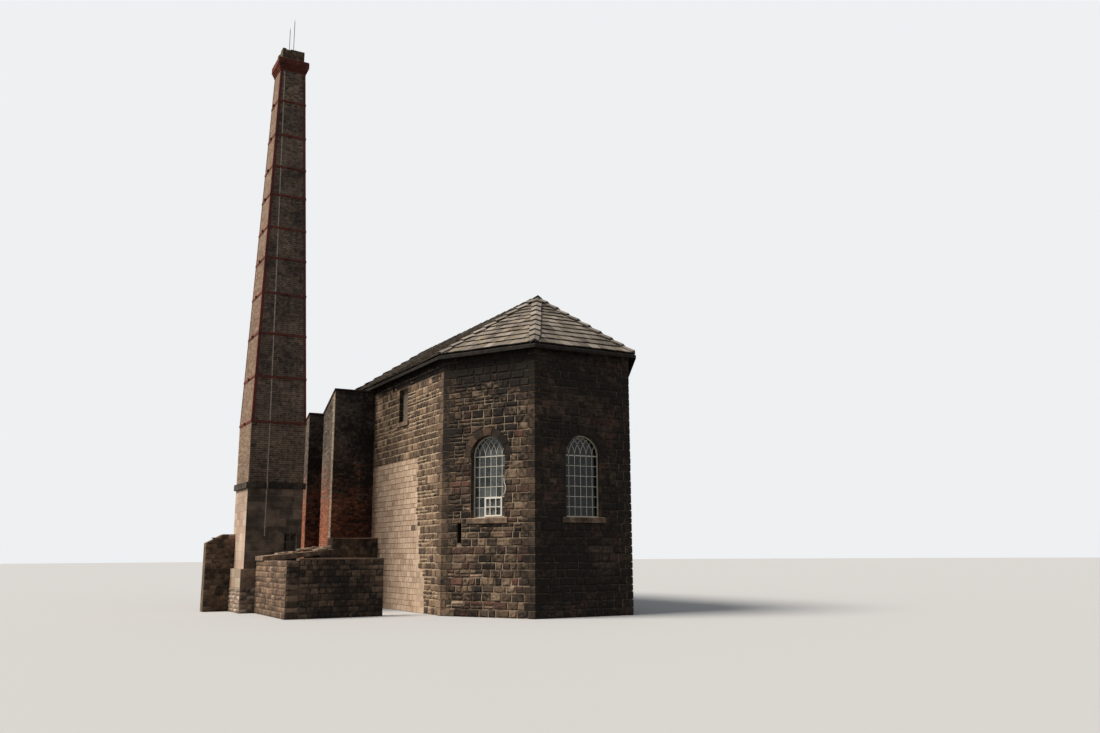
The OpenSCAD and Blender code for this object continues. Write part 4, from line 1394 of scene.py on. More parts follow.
@dataclass
class Roof:
    """Stone slates in courses that get shorter towards the ridge, with stone hip and ridge tiles.

    first and last are the lengths of slate in view in the lowest and the highest course, before they are fitted to
    the slope.
    """

    rng: random.Random = seeded(23)
    courses: int = 13
    first: float = 0.5
    last: float = 0.27
    lap: float = 0.05
    gap: float = 0.005
    thick: float = 0.03
    lift: float = 0.05
    bed: float = 0.006
    start: float = 0.08
    front_soot: float = 0.3
    tile_half: float = 0.2
    tile_thick: float = 0.07
    tile_rise: float = 0.12
    tile_step: float = 0.075
    tile_lap: float = 0.03
    hip_tile: float = 0.575
    ridge_tile: float = 0.6
    ridge_over: float = 0.1
    hip_foot: float = 0.03
    hip_head: float = 0.04
    inside: float = 0.012

    def facet(self, face: Face) -> tuple[list[Vector], Matrix, float]:
        """A roof facet's corners and its own lines.

        Args:
            face: The wall face under it.

        Returns:
            The facet's corners in its own lines (x along the eaves, y up the slope), the matrix from them to the
            CAD frame, and the slope's length.
        """
        before = FACES[FACES.index(face) - 1]
        reach = HOUSE.eaves_reach
        out = HOUSE.distance(face) + reach
        rise = HOUSE.ridge - HOUSE.eaves
        slant = math.hypot(out, rise)
        axis, normal = HOUSE.along(face), HOUSE.normal(face)
        centre = Vector((0, HOUSE.middle(face), 0))
        up = (-normal * out + Vector((0, 0, rise))) / slant
        origin = centre + normal * out + Vector((0, 0, HOUSE.eaves))
        third = axis.cross(up)
        matrix = Matrix.Translation(HOUSE.place + origin) @ Matrix((axis, up, third)).transposed().to_4x4()
        feet = [(HOUSE.corner(side, reach) - centre).dot(axis) for side in (before, face)]
        tops = [0.0, 0.0]
        if face in LONG:
            tops = sorted((Vector((0, y, 0)) - centre).dot(axis) for y in (0.0, HOUSE.side_length))
        outline = ((feet[0], 0), (feet[1], 0), (tops[1], slant), (tops[0], slant))
        return [Vector((x, y, 0)) for x, y in outline], matrix, slant

    def exposures(self, slant: float) -> list[float]:
        """Lengths of slate in view, course by course, from the eaves to the ridge."""
        raw = [self.first + (self.last - self.first) * i / (self.courses - 1) for i in range(self.courses)]
        return [r * (slant - self.start) / sum(raw) for r in raw]

    def lay_course(self, bm: BMesh, face: Face, lines: list[float], foot: float, head: float) -> None:
        """Lays one course of slates, tails up on the course below.

        Args:
            bm: Mesh that takes them, in the facet's own lines.
            face: The wall face under the facet.
            lines: The joints' places along the eaves.
            foot: Place of the tails up the slope.
            head: Place of the heads.
        """
        rng, count = self.rng, len(lines) - 1
        made = ops.create_grid(bm, x_segments=count, y_segments=1, size=0.5)["verts"]
        for vert in made:
            y, z = (foot, self.lift + self.bed) if vert.co.y < 0 else (head, self.bed)
            vert.co = Vector((lines[round((vert.co.x + 0.5) * count)], y, z))
        for slate in faces_of(made):
            soot = rng.uniform(0.0, 0.2) if rng.random() < 0.8 else rng.uniform(0.25, 0.5)
            soot += self.front_soot if face == Face.FRONT else 0.0
            tint_faces(bm, [slate], (rng.random(), rng.random(), soot))

    def age_tails(self, bm: BMesh) -> None:
        """Lets each slate's tail run a little out of line and stand a little off."""
        rng = self.rng
        for slate in bm.faces:
            drop, skew = rng.uniform(-0.02, 0.014), rng.uniform(-0.006, 0.012)
            for vert in sorted(slate.verts, key=lambda v: v.co.y)[:2]:
                vert.co.y = max(self.start, vert.co.y + drop + rng.uniform(-0.01, 0.01))
                vert.co.z += skew + rng.uniform(-0.004, 0.004)

    def build_facet(self, face: Face) -> None:
        """Lays the slates of one facet."""
        (first, second, third, fourth), matrix, slant = self.facet(face)
        bm = new_mesh()
        foot, edge = self.start, 0.02
        for exposure in self.exposures(slant):
            head = min(slant, foot + exposure + self.lap)
            a = first.x + (fourth.x - first.x) * foot / slant - edge
            b = second.x + (third.x - second.x) * foot / slant + edge
            lines = [a, b]
            if b - a >= 0.25:
                lines = joints(a, b, 0.16 + 0.2 * exposure, 0.28 + 0.3 * exposure, self.rng)
            self.lay_course(bm, face, lines, foot, head)
            foot += exposure
        rim = ops.inset_individual(bm, faces=bm.faces[:], thickness=self.gap, use_even_offset=True)["faces"]
        ops.delete(bm, geom=rim, context="FACES")
        self.age_tails(bm)
        ops.solidify(bm, geom=bm.faces[:], thickness=-self.thick)
        for point, other, way in ((first, fourth, 1), (second, third, -1)):
            line = (other - point).normalized()
            ops.bisect_plane(
                bm, geom=whole(bm), dist=WELD, plane_co=point, plane_no=Vector((line.y, -line.x, 0)) * way,
                clear_inner=True)
        ops.recalc_face_normals(bm, faces=bm.faces[:])
        # Tails take some soot; undersides and side edges are painted black as the shade under each course, which draws
        # the dark line between courses.
        layer = bm.faces.layers.float_vector[TINT]
        for slate in bm.faces:
            if slate.normal.z < 0.6:
                in_painted_shade = slate.normal.z < -0.3 or abs(slate.normal.x) > 0.6
                slate[layer] = (slate[layer].x, slate[layer].y, MOST_SOOT_AND_SHADE if in_painted_shade else 0.6)
        ops.transform(bm, matrix=matrix, verts=bm.verts)
        finish_piece(bm, "slates_" + face.name.lower(), Finish.SLATE)

    def tile_row(self, bm: BMesh, start: Vector, end: Vector, drops: tuple[float, float], length: float) -> None:
        """Lays a row of bent stone tiles along a hip or the ridge, each over the one below it.

        Args:
            bm: Mesh that takes them.
            start: Lower end of the row, on the roof's own planes.
            end: Upper end.
            drops: Fall of the roof over a metre to the left and to the right of the row.
            length: Usual length of a tile.
        """
        run = end - start
        count = max(1, round(run.length / length))
        ahead = run.normalized()
        side = Vector((ahead.y, -ahead.x, 0)).normalized()
        push = ahead * (run.length / count + self.tile_lap) - Vector((0, 0, self.tile_step))
        for i in range(count):
            low = start + run * i / count
            thick = self.tile_thick + self.rng.uniform(-0.008, 0.008)
            spread = self.tile_half + self.rng.uniform(-0.012, 0.012)
            line = [(-spread, -drops[0] * spread), (0.0, 0.0), (spread, -drops[1] * spread)]
            outline = line + [(x, z + thick) for x, z in reversed(line)]
            tile = add_prism(bm, [low + side * x + Vector((0, 0, z + self.tile_rise)) for x, z in outline], push)
            solid = faces_of(tile)
            tint_faces(bm, solid, random_tint(self.rng, 0.0, 0.0, 0.25))
            bm.normal_update()
            # The tiles' ends and sides are painted black as the shade between them.
            ends = [f for f in solid if max(abs(f.normal.dot(side)), abs(f.normal.dot(ahead))) > 0.8]
            tint_faces(bm, ends, (0.5, 0.5, MOST_SOOT_AND_SHADE))

    def keep_inside(self, bm: BMesh, faces: Iterable[Face]) -> None:
        """Moves what sticks out past the eaves back to them."""
        for face in faces:
            normal = HOUSE.normal(face)
            centre = HOUSE.place + Vector((0, HOUSE.middle(face), 0))
            limit = HOUSE.distance(face) + HOUSE.eaves_reach - self.inside
            for vert in bm.verts:
                over = (vert.co - centre).dot(normal) - limit
                if over > 0:
                    vert.co -= normal * over

    def hip(self, bm: BMesh, face: Face, top: Vector) -> None:
        """Lays the tiles of the hip between the roof over a face and the next.

        Args:
            bm: Mesh that takes them.
            face: The face before the hip.
            top: The hip's upper end, in the house's own lines.
        """
        reach = HOUSE.eaves_reach - self.hip_foot
        foot = HOUSE.corner(face, reach)
        foot.z = HOUSE.ridge - HOUSE.slope(face) * (HOUSE.distance(face) + reach)
        run = top - foot
        flat = Vector((run.x, run.y, 0)).normalized()
        side = Vector((flat.y, -flat.x, 0))
        falls = {}
        for plane in (face, HOUSE.next_face(face)):
            across = HOUSE.normal(plane).dot(side)
            falls[across > 0] = abs(across) * HOUSE.slope(plane)
        self.tile_row(
            bm, foot + HOUSE.place, top + HOUSE.place - run.normalized() * self.hip_head, (falls[False], falls[True]),
            self.hip_tile)

    def build_tiles(self) -> None:
        """Lays the hip tiles of both ends and the ridge tiles."""
        ends = (
            ("front", 0.0, (Face.LEFT, Face.FRONT_LEFT, Face.FRONT, Face.FRONT_RIGHT)),
            ("rear", HOUSE.side_length, (Face.RIGHT, Face.REAR_RIGHT, Face.REAR, Face.REAR_LEFT)))
        for end, middle, faces in ends:
            bm = new_mesh()
            for face in faces:
                self.hip(bm, face, Vector((0, middle, HOUSE.ridge)))
            ease_arrises(bm, 0.008, 1.0)
            self.keep_inside(bm, faces + (HOUSE.next_face(faces[-1]),))
            finish_piece(bm, "hip_stones_" + end, Finish.HIP_STONE, ("hip_tiles_" + end,))
        bm = new_mesh()
        fall = HOUSE.slope(Face.LEFT)
        start, end = (
            Vector((0, y, HOUSE.ridge)) + HOUSE.place for y in (-self.ridge_over, HOUSE.side_length + self.ridge_over))
        self.tile_row(bm, start, end, (fall, fall), self.ridge_tile)
        ease_arrises(bm, 0.008, 1.0)
        finish_piece(bm, "ridge_stones", Finish.HIP_STONE, ("ridge_tiles",))

    def build(self) -> None:
        """Lays the whole roof."""
        for face in FACES:
            self.build_facet(face)
        self.build_tiles()
        dress(Finish.SLATE_BED, "roof_left", "roof_right", "roof_front_end", "roof_rear_end")


@dataclass
class BrickWall:
    """Brickwork on one upright or leaning face."""

    left: Callable[[float], float]
    right: Callable[[float], float]
    foot: float
    head: float
    tint: Callable[[float], Tint]
    course: float = 0.086
    stretcher: float = 0.235
    header_every: int = 4
    depth: Callable[[float], float] = lambda z: 0.0

    def lines(self, course: int, height: float) -> list[float]:
        """The upright joints of a course: stretchers, and headers in every fourth course."""
        a, b = self.left(height), self.right(height)
        headers = course % self.header_every == self.header_every - 1
        step = self.stretcher / 2 if headers else self.stretcher
        shift = self.stretcher / 2 if course % 2 else self.stretcher / 4
        first = math.ceil((a - shift) / step + 0.25)
        last = math.floor((b - shift) / step - 0.25)
        return [a] + [shift + k * step for k in range(first, last + 1)] + [b]

    def build(self, trim: Sequence[tuple[Vector, Vector]] = ()) -> BMesh:
        """Lays the bricks.

        Args:
            trim: Planes that cut them, each a point and the normal on the side that stays.

        Returns:
            The mesh, in the wall's own lines.
        """
        masonry = Masonry(joint=0.012, chamfer=0.003, proud=0.006)
        count = math.ceil((self.head - self.foot) / self.course - 0.3)
        for i in range(count):
            low = self.foot + i * self.course
            high = min(self.head, low + self.course)
            masonry.strip(self.lines(i, (low + high) / 2), low, high, lambda: self.tint(low))
        for point, normal in trim:
            masonry.cut(masonry.bm.faces[:], point, normal)
        masonry.raise_stones(random.Random(3))
        for vert in masonry.bm.verts:
            vert.co.y += self.depth(vert.co.z)
        return masonry.bm


@dataclass
class Chimney:
    """The chimney: rubble foot, ashlar base, tapered brick shaft, oversailing cap and broken parapet.

    Its sides are counted from the front one to the right one, the rear one and the left one, and soot holds the
    darkening share of each: soot, and painted shade on the sides away from the key light.
    """

    rng: random.Random = seeded(37)
    place: Vector = field(default_factory=lambda: Vector((-8.69, 7.02, 0)))
    sides: int = 4
    footing_half: float = 1.225
    footing_top: float = 1.67
    footing_soot: float = 0.75
    plinth: float = 0.95
    plinth_course: float = 0.36
    rubble_course: float = 0.17
    base_half: float = 1.1
    base_top: float = 4.8
    base_course: float = 0.29
    base_soot: float = 1.13
    damp_soot: float = 1.3
    damp_top: float = 3.3
    soot_hole: Rect = Rect(0.4, 0.91, 2.34, 3.05)
    string_top: float = 5.04
    iron_foot: float = 7.42
    shaft_half_foot: float = 1.095
    shaft_half_head: float = 0.535
    shaft_top: float = 23.12
    cap_steps: int = 4
    cap_step_out: float = 0.032
    cap_course: float = 0.086
    cap_band: float = 0.2
    cap_soot: float = 0.55
    band_shares: tuple[float, ...] = (0, 0.118, 0.234, 0.345, 0.443, 0.529, 0.623, 0.706, 0.801, 0.903)
    band_height: float = 0.1
    band_out: float = 0.026
    lug: tuple[float, float, float] = (0.02, 0.06, 0.085)
    lug_apart: float = 0.045
    lug_out: float = 0.025
    bolt: tuple[float, float] = (0.014, 0.19)
    bolt_out: float = 0.028
    # The left side faces the key light and is clean; the others take soot and painted shade, the front most.
    soot: tuple[float, float, float, float] = (0.78, 0.35, 0.45, 0.0)
    speckled_from: float = 21.3
    washed_from: float = 15.0

    def half(self, height: float) -> float:
        """Half the shaft's side at a height: upright up to the lowest band, tapered above it."""
        share = max(0.0, (height - self.iron_foot) / (self.shaft_top - self.iron_foot))
        return self.shaft_half_foot + (self.shaft_half_head - self.shaft_half_foot) * share

    def side_matrix(self, turn: int) -> Matrix:
        """Matrix from a side's own lines to the CAD frame."""
        return turned(HOUSE.place + self.place, turn)

    def brick_tint(self, side: int, height: float) -> Tint:
        """A brick's tone, value and darkening share on a side at a height; the top is speckled by rain."""
        soot = self.soot[side] + self.rng.uniform(-0.07, 0.07) + (0.2 if self.rng.random() < 0.06 else 0.0)
        if height > self.speckled_from:
            soot += self.rng.uniform(-0.45, 0.15)
        left = self.sides - 1
        dark = 0.5 if side == left and height > self.washed_from else 0.9
        return self.rng.uniform(0.1, dark), self.rng.uniform(0.2, 0.8), clamp(soot, high=MOST_SOOT_AND_SHADE)

    def block_tint(self, soot: float) -> Tint:
        """A block's tone, value and soot share."""
        return random_tint(self.rng, soot, -0.08, 0.08)

    def build_shaft(self) -> None:
        """Lays the shaft's bricks, side by side."""
        bm = new_mesh()
        for turn in range(self.sides):
            wall = BrickWall(
                lambda z: -self.half(z), self.half, self.string_top, self.shaft_top,
                lambda z, side=turn: self.brick_tint(side, z), depth=lambda z: -self.half(z))
            join(bm, wall.build(), self.side_matrix(turn))
        finish_piece(bm, "shaft_bricks", Finish.SHAFT_BRICK)

    def build_cap(self) -> None:
        """Lays the bricks of the cap: steps that sail out, and the plain band on them."""
        bm = new_mesh()
        steps = [
            (self.shaft_half_head + (i + 1) * self.cap_step_out, self.shaft_top + i * self.cap_course)
            for i in range(self.cap_steps)]
        band_foot = self.shaft_top + self.cap_steps * self.cap_course
        for turn in range(self.sides):
            tint = lambda z, side=turn: random_tint(self.rng, self.soot[side] * self.cap_soot, -0.1, 0.12)
            for half, foot in steps + [(steps[-1][0], band_foot)]:
                head = foot + (self.cap_course if foot < band_foot else self.cap_band)
                wall = BrickWall(
                    lambda z, h=half: -h, lambda z, h=half: h, foot, head, tint, depth=lambda z, h=half: -h)
                join(bm, wall.build(), self.side_matrix(turn))
        finish_piece(bm, "cap_bricks", Finish.CAP_BRICK)

    def build_base(self) -> None:
        """Lays the ashlar of the base, which is darker towards its foot."""
        bm = new_mesh()
        rng, half = self.rng, self.base_half
        levels = [self.footing_top, self.soot_hole.foot, self.soot_hole.head, self.base_top]
        for turn in range(self.sides):
            masonry = Masonry(joint=0.008, chamfer=0.004, proud=0.005)
            for foot, head in split_courses(levels, self.base_course, rng):
                soot = self.soot[turn] * (self.base_soot if foot > self.damp_top else self.damp_soot)
                for a, b in free_spans(-half, half, foot, head, [self.soot_hole] if turn == 0 else []):
                    masonry.strip(joints(a, b, 0.4, 0.8, rng), foot, head, lambda: self.block_tint(soot))
            masonry.raise_stones(rng)
            masonry.back_off(-half)
            join(bm, masonry.bm, self.side_matrix(turn))
        finish_piece(bm, "base_blocks", Finish.ASHLAR)

    def build_footing(self) -> None:
        """Lays the plinth's squared blocks and the rubble below them."""
        bm = new_mesh()
        rng, half = self.rng, self.footing_half
        for turn in range(self.sides):
            soot = self.soot[turn] * self.footing_soot
            rubble = Masonry(
                joint=0.026, chamfer=0.01, proud=0.008, crown=0.02, crown_edge=0.04, jitter=0.02, wobble=0.012)
            for foot, head in split_courses([0.0, self.plinth], self.rubble_course, rng):
                rubble.strip(
                    joints(-half, half, 0.14, 0.4, rng), foot, head,
                    lambda: self.block_tint(soot * rng.uniform(0.2, 1.6)))
            plinth = Masonry(joint=0.008, chamfer=0.004, proud=0.008)
            for foot, head in split_courses([self.plinth, self.footing_top], self.plinth_course, rng):
                plinth.strip(joints(-half, half, 0.5, 1.0, rng), foot, head, lambda: self.block_tint(soot))
            for masonry in (rubble, plinth):
                masonry.raise_stones(rng)
                masonry.back_off(-half)
                join(bm, masonry.bm, self.side_matrix(turn))
        finish_piece(bm, "footing_stones", Finish.RUBBLE)

    def build_couplings(self) -> None:
        """Makes the lugs and bolts that pull each iron band tight, in the middle of every side."""
        bm = new_mesh()
        radius, length = self.bolt
        lying = Matrix.Rotation(math.pi / 2, 3, "Y")
        for share in self.band_shares:
            height = self.iron_foot + share * (self.shaft_top - self.iron_foot) + self.band_height / 2
            face = -self.half(height) - self.band_out
            for turn in range(self.sides):
                part = bmesh.new()
                middle = self.rng.uniform(-0.08, 0.08)
                for place in (middle - self.lug_apart, middle + self.lug_apart):
                    add_block(part, self.lug, (place, face - self.lug_out, height))
                bolt = ops.create_cone(
                    part, cap_ends=True, segments=8, radius1=radius, radius2=radius, depth=length)["verts"]
                ops.rotate(part, cent=(0, 0, 0), matrix=lying, verts=bolt)
                ops.translate(part, vec=(middle, face - self.bolt_out, height), verts=bolt)
                join(bm, part, self.side_matrix(turn))
        finish_piece(bm, "band_couplings", Finish.RUST)

    def build(self) -> None:
        """Builds the chimney and dresses its solids."""
        self.build_shaft()
        self.build_cap()
        self.build_base()
        self.build_footing()
        self.build_couplings()
        dress(Finish.BRICK_POINTING, "chimney_footing", "chimney_base", "chimney_shaft")
        dress(Finish.COPING, "string_course")
        dress(Finish.CAP_BED, "chimney_cap")
        dress(Finish.PARAPET, "chimney_parapet")
        dress(Finish.RUST, "corner_angles", "chimney_bands")
        dress(Finish.ROD, "lightning_rods")
        dress(Finish.TAPE, "lightning_tape")
        dress(Finish.BARE_IRON, "soot_grate")


@dataclass(frozen=True)
class PierForm:
    """One brick pier: its front face's place along the house, and its sizes."""

    start: float
    length: float
    reach: float
    top: float
    fall: float
    pale: float = 0.0


@dataclass
class Piers:
    """The two brick piers against the left wall, with their copings and the stone ledge.

    pale is the width of the limy strip along a pier's front corner.
    """

    rng: random.Random = seeded(51)
    near: PierForm = PierForm(7.85, 1.65, 1.83, 9.31, 0.85, pale=0.3)
    far: PierForm = PierForm(11.0, 1.6, 2.08, 8.62, 0.8)
    red_top: float = 3.6
    grey_over: float = 3.2
    palest: float = 0.22

    def tint(self, height: float, lee: bool) -> Tint:
        """A brick's tone, value and darkening share.

        Args:
            height: Its height; the brick is pale and sooty high up and red below.
            lee: Whether it lies on a front or rear face, which takes soot and painted shade.

        Returns:
            The tint.
        """
        rise = clamp((height - self.red_top) / self.grey_over)
        soot = (0.72 + 0.28 * rise if lee else 0.02 + 0.5 * rise) + self.rng.uniform(-0.18, 0.18)
        pick = clamp(0.92 - 0.85 * rise + self.rng.uniform(-0.3, 0.3))
        return self.palest + (1.0 - self.palest) * pick, self.rng.random(), clamp(soot, high=MOST_SOOT_AND_SHADE)

    def build_pier(self, bm: BMesh, pier: PierForm) -> None:
        """Lays the bricks of a pier's three open sides.

        Args:
            bm: Mesh that takes them.
            pier: The pier.
        """
        wall, outer = HOUSE.half_width, HOUSE.half_width + pier.reach
        end = pier.start + pier.length
        # Front and rear faces take soot and painted shade.
        lee = lambda z: self.tint(z, True)
        front = BrickWall(lambda z: -outer, lambda z: -wall, 0, pier.top, lee)
        join(bm, front.build(), turned(HOUSE.place + Vector((0, pier.start, 0)), 0))
        rear = BrickWall(lambda z: wall, lambda z: outer, 0, pier.top - pier.fall, lee)
        join(bm, rear.build(), turned(HOUSE.place + Vector((0, end, 0)), 2))
        side = BrickWall(lambda z: -end, lambda z: -pier.start, 0, pier.top, lambda z: self.tint(z, False))
        slope = Vector((pier.fall, 0, -pier.length)).normalized()
        trimmed = side.build([(Vector((-pier.start, 0, pier.top)), slope)])
        layer = trimmed.faces.layers.float_vector[TINT]
        for brick in trimmed.faces:
            if brick.calc_center_median().x > -pier.start - pier.pale:
                brick[layer] = (0.0, brick[layer].y, 0.4 * brick[layer].z)
        join(bm, trimmed, turned(HOUSE.place + Vector((-outer, 0, 0)), -1))

    def build(self) -> None:
        """Builds both piers and dresses their solids."""
        bm = new_mesh()
        self.build_pier(bm, self.near)
        self.build_pier(bm, self.far)
        finish_piece(bm, "pier_bricks", Finish.PIER_BRICK)
        dress(Finish.PIER_POINTING, "brick_pier_near", "brick_pier_far")
        dress(Finish.COPING, "pier_copings")
        dress(Finish.LEDGE, "pier_ledge")


@dataclass
class Yard:
    """The low walls round the yard, the flue and the stub wall."""

    rng: random.Random = seeded(77)
    walls: tuple[str, ...] = ("yard_side_wall", "yard_front_wall", "flue_wall")
    course: float = 0.2
    lee_soot: float = 0.78
    washed_soot: float = 0.28
    stub_top: float = 3.03
    stub_fall: float = 0.35
    stub_level: float = 0.35
    stub_step: float = 0.125
    step_height: float = 1.67
    slab_foot: float = 2.15
    rubble: int = 18
    rubble_edge: float = 0.2
    coping_over: float = 0.022
    coping_sunk: float = 0.03
    coping_thick: float = 0.055
    coping_gap: float = 0.008

    def stones(self) -> Masonry:
        """Starts the rough squared stones of a low wall's side."""
        return Masonry(joint=0.024, chamfer=0.01, proud=0.008, crown=0.016, crown_edge=0.035, jitter=0.014, wobble=0.01)

    def lay(self, masonry: Masonry, left: float, right: float, foot: float, head: float, turn: int) -> None:
        """Lays a course of a low wall; the side to the front is darkest, with soot and painted shade.

        Args:
            masonry: The side's stones.
            left: First end of the course.
            right: Last end.
            foot: Lower joint.
            head: Upper joint.
            turn: Quarter turns from the front side.
        """
        soot = self.lee_soot if turn == 0 else self.washed_soot
        masonry.strip(
            joints(left, right, 0.18, 0.45, self.rng), foot, head, lambda: random_tint(self.rng, soot, -0.25, 0.25))

    def build_block(self, bm: BMesh, node: str) -> None:
        """Lays squared stones on the four sides of a low wall's box."""
        low, high = (Vector(c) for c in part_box(node))
        centre, size = (low + high) / 2, high - low
        for turn in range(4):
            along, deep = (size.x, size.y) if turn % 2 == 0 else (size.y, size.x)
            masonry = self.stones()
            for foot, head in split_courses([0.0, size.z], self.course, self.rng):
                self.lay(masonry, -along / 2, along / 2, foot, head, turn)
            masonry.raise_stones(self.rng)
            masonry.back_off(-deep / 2)
            join(bm, masonry.bm, turned(Vector((centre.x, centre.y, 0)), turn))

    def build_stub(self, bm: BMesh) -> None:
        """Lays the stub wall's stones; they step over the chimney's foot and are cut along the broken top."""
        low, high = (Vector(c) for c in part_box("stub_wall"))
        whole_length, centre = high.x - low.x, (low.x + high.x) / 2
        sloped = (1 - self.stub_level) * (whole_length - self.stub_step)
        for turn, face in ((0, low.y), (2, high.y)):
            # On the rear side left and right change places.
            away = -1 if turn == 0 else 1
            edge = away * whole_length / 2
            masonry = self.stones()
            for foot, head in split_courses([0.0, self.step_height, self.stub_top], self.course, self.rng):
                near = -away * (whole_length / 2 - (self.stub_step if foot < self.step_height - 0.01 else 0.0))
                self.lay(masonry, *sorted((edge, near)), foot, head, turn)
            masonry.cut(
                masonry.bm.faces[:], Vector((edge, 0, self.stub_top - self.stub_fall)),
                Vector((-away * self.stub_fall, 0, -sloped)).normalized())
            masonry.raise_stones(self.rng)
            join(bm, masonry.bm, turned(Vector((centre, face, 0)), turn))

    def build_rubble(self) -> None:
        """Lays broken flat stones on the flue's tilted cover slab, most of them at its high end."""
        bm = new_mesh()
        rng, edge = self.rng, self.rubble_edge
        low, high = (Vector(c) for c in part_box("flue_slab"))
        for i in range(self.rubble):
            share = 1 - 0.85 * rng.random() ** 1.5
            level = self.slab_foot + (high.z - self.slab_foot) * share + 0.03 + (0.05 if i % 3 == 0 else 0.0)
            centre = (low.x + edge + (high.x - low.x - 0.45) * share, rng.uniform(low.y + edge, high.y - edge), level)
            made = add_block(bm, (rng.uniform(0.2, 0.45), rng.uniform(0.15, 0.35), rng.uniform(0.05, 0.09)))
            for most, axis in (((0, 3), "Z"), ((-0.15, 0.15), "Y")):
                lean = Matrix.Rotation(rng.uniform(*most), 3, axis)
                ops.rotate(bm, cent=(0, 0, 0), matrix=lean, verts=made)
            ops.translate(bm, vec=centre, verts=made)
            tint_faces(bm, faces_of(made), random_tint(rng, 0.0, 0.0, 0.35))
        bevel_edges(bm, bm.edges[:], 0.012)
        wear_shape(bm, 6.0, 0.012)
        finish_piece(bm, "flue_rubble", Finish.RUBBLE)

    def build_copings(self) -> None:
        """Lays thin flat stones on the front yard wall and on the piers' ledge, a little wider than they are."""
        bm = new_mesh()
        over, thick = self.coping_over, self.coping_thick
        for node in ("yard_front_wall", "pier_ledge"):
            low, high = (Vector(c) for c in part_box(node))
            marks = joints(low.x + 0.01, high.x + over, 0.5, 0.95, self.rng)
            for a, b in zip(marks, marks[1:]):
                level = high.z - self.coping_sunk + thick / 2 + self.rng.uniform(-0.006, 0.008)
                made = add_block(
                    bm, (b - a - self.coping_gap, high.y - low.y + over, thick),
                    ((a + b) / 2, (low.y + high.y - over) / 2, level))
                tint_faces(bm, faces_of(made), random_tint(self.rng, 0.0, 0.0, 0.2))
        bevel_edges(bm, bm.edges[:], 0.008)
        wear_shape(bm, 5.0, 0.005)
        finish_piece(bm, "low_wall_copings", Finish.YARD_STONE)

    def build(self) -> None:
        """Builds the low walls' stones and dresses their solids."""
        bm = new_mesh()
        for node in self.walls:
            self.build_block(bm, node)
        self.build_stub(bm)
        finish_piece(bm, "yard_stones", Finish.YARD_STONE)
        self.build_rubble()
        self.build_copings()
        dress(Finish.PIER_POINTING, *self.walls)
        dress(Finish.BROKEN_WALL, "stub_wall")
        dress(Finish.SILL, "flue_slab")


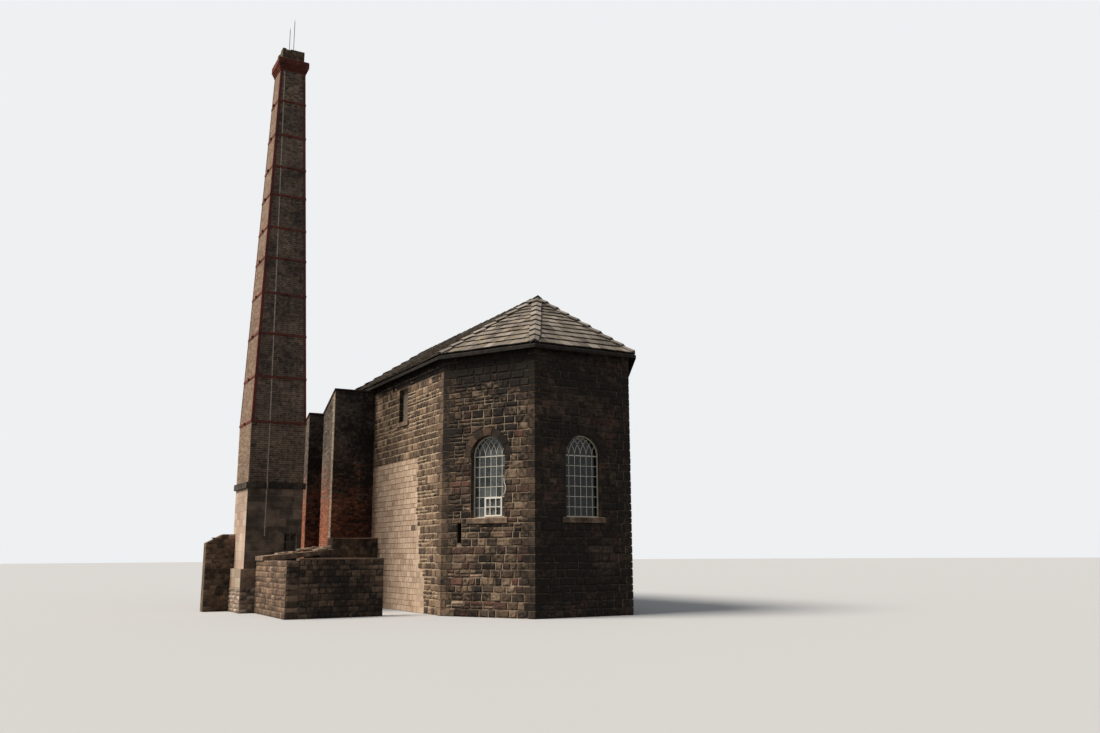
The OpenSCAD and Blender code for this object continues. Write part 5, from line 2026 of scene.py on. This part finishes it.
@dataclass
class Studio:
    """The plain pale floor, the soft light and the camera at the photograph's place.

    focal and width are pixels of the photograph, and the three turns are radians.
    """

    focal: float = 956.40
    width: float = 1100.0
    sensor: float = 36.0
    reach: float = 500.0
    pitch: float = 0.1928
    roll: float = -0.0059
    heading: float = 0.5132
    eye: Vector = field(default_factory=lambda: Vector((-18.0044, -32.9932, 2.2)))
    floor_radius: float = 300.0
    floor_level: float = -0.004
    floor_lit: str = "#6e6c68"
    floor_seen: str = "#c4c5c6"
    sky_lit: str = "#e8ecf2"
    sky_strength: float = 0.32
    sky_seen: str = "#eef0f2"

    def build_camera(self) -> None:
        """Sets the camera."""
        h, p, r = self.heading, self.pitch, self.roll
        ahead = Vector((math.sin(h) * math.cos(p), math.cos(h) * math.cos(p), math.sin(p)))
        right = Vector((math.cos(h), -math.sin(h), 0))
        up = right.cross(ahead)
        level, rise = right * math.cos(r) + up * math.sin(r), -right * math.sin(r) + up * math.cos(r)
        data = bpy.data.cameras.new("camera")
        data.sensor_width = self.sensor
        data.lens = self.focal * self.sensor / self.width
        data.clip_end = self.reach
        camera = bpy.data.objects.new("camera", data)
        turn = Matrix((level, rise, -ahead)).transposed().to_4x4()
        camera.matrix_world = Matrix.Translation(HOUSE.place + self.eye) @ turn
        bpy.context.scene.collection.objects.link(camera)
        bpy.context.scene.camera = camera

    def build_lamp(self, name: str, source: Vector, strength: float, spread: float, colour: str) -> None:
        """Adds a soft far lamp.

        Args:
            name: Its name.
            source: Direction that its light comes from.
            strength: Its strength.
            spread: Its apparent size in degrees, which softens the shadows.
            colour: Hex colour of the light.
        """
        data = bpy.data.lights.new(name, "SUN")
        data.energy = strength
        data.angle = math.radians(spread)
        data.color = linear(colour)[:3]
        lamp = bpy.data.objects.new(name, data)
        lamp.rotation_euler = source.to_track_quat("Z", "Y").to_euler()
        bpy.context.scene.collection.objects.link(lamp)

    def build_floor(self) -> None:
        """Adds the pale floor; it throws back only as much light as open ground would."""
        bm = bmesh.new()
        ops.create_circle(bm, cap_ends=True, segments=96, radius=self.floor_radius)
        ops.translate(bm, verts=bm.verts, vec=(0, 0, self.floor_level))
        mesh = bpy.data.meshes.new("studio_floor")
        bm.to_mesh(mesh)
        bm.free()
        paint = start_material("pale studio floor")
        add = partial(add_node, paint.node_tree)
        colour = add(
            "Mix", {6: linear(self.floor_lit), 7: linear(self.floor_seen)},
            {0: add("LightPath").outputs["Is Camera Ray"]}, data_type="RGBA")
        mesh.materials.append(end_material(paint, {"Roughness": 0.9, "Specular IOR Level": 0.1}, colour.outputs[2]))
        floor = bpy.data.objects.new("studio_floor", mesh)
        bpy.context.scene.collection.objects.link(floor)

    def build_world(self) -> None:
        """Sets the even light from all round and the pale background."""
        world = bpy.data.worlds.new("studio")
        bpy.context.scene.world = world
        world.use_nodes = True
        tree = world.node_tree
        glow = tree.nodes["Background"]
        glow.inputs["Color"].default_value = linear(self.sky_lit)
        glow.inputs["Strength"].default_value = self.sky_strength
        add = partial(add_node, tree)
        seen = add("Background", {"Color": linear(self.sky_seen), "Strength": 1.0})
        path = add("LightPath").outputs
        either = add("Math", links={0: path["Is Camera Ray"], 1: path["Is Glossy Ray"]}, operation="MAXIMUM")
        mixed = add("MixShader", links={0: either, 1: glow, 2: seen})
        tree.links.new(mixed.outputs[0], tree.nodes["World Output"].inputs["Surface"])

    def build(self) -> None:
        """Builds the whole studio."""
        self.build_camera()
        self.build_floor()
        self.build_world()
        self.build_lamp("key", Vector((-1.0, 0.2, 1.35)), 3.9, 30, "#fff6ea")
        self.build_lamp("fill", Vector((0.3, -1.0, 0.8)), 0.08, 60, "#f6f8ff")
        bpy.context.scene.view_settings.view_transform = "Standard"


def main() -> None:
    """Builds the studio and the building's pieces in order."""
    logging.basicConfig(level=logging.INFO, format="%(name)s: %(message)s")
    # Blender seeds its vector noise from the clock unless it is told.
    noise.seed_set(5)
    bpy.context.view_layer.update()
    for part in (Studio(), HouseWalls(), Windows(), Roof(), Chimney(), Piers(), Yard()):
        part.build()


if __name__ == "__main__":
    main()
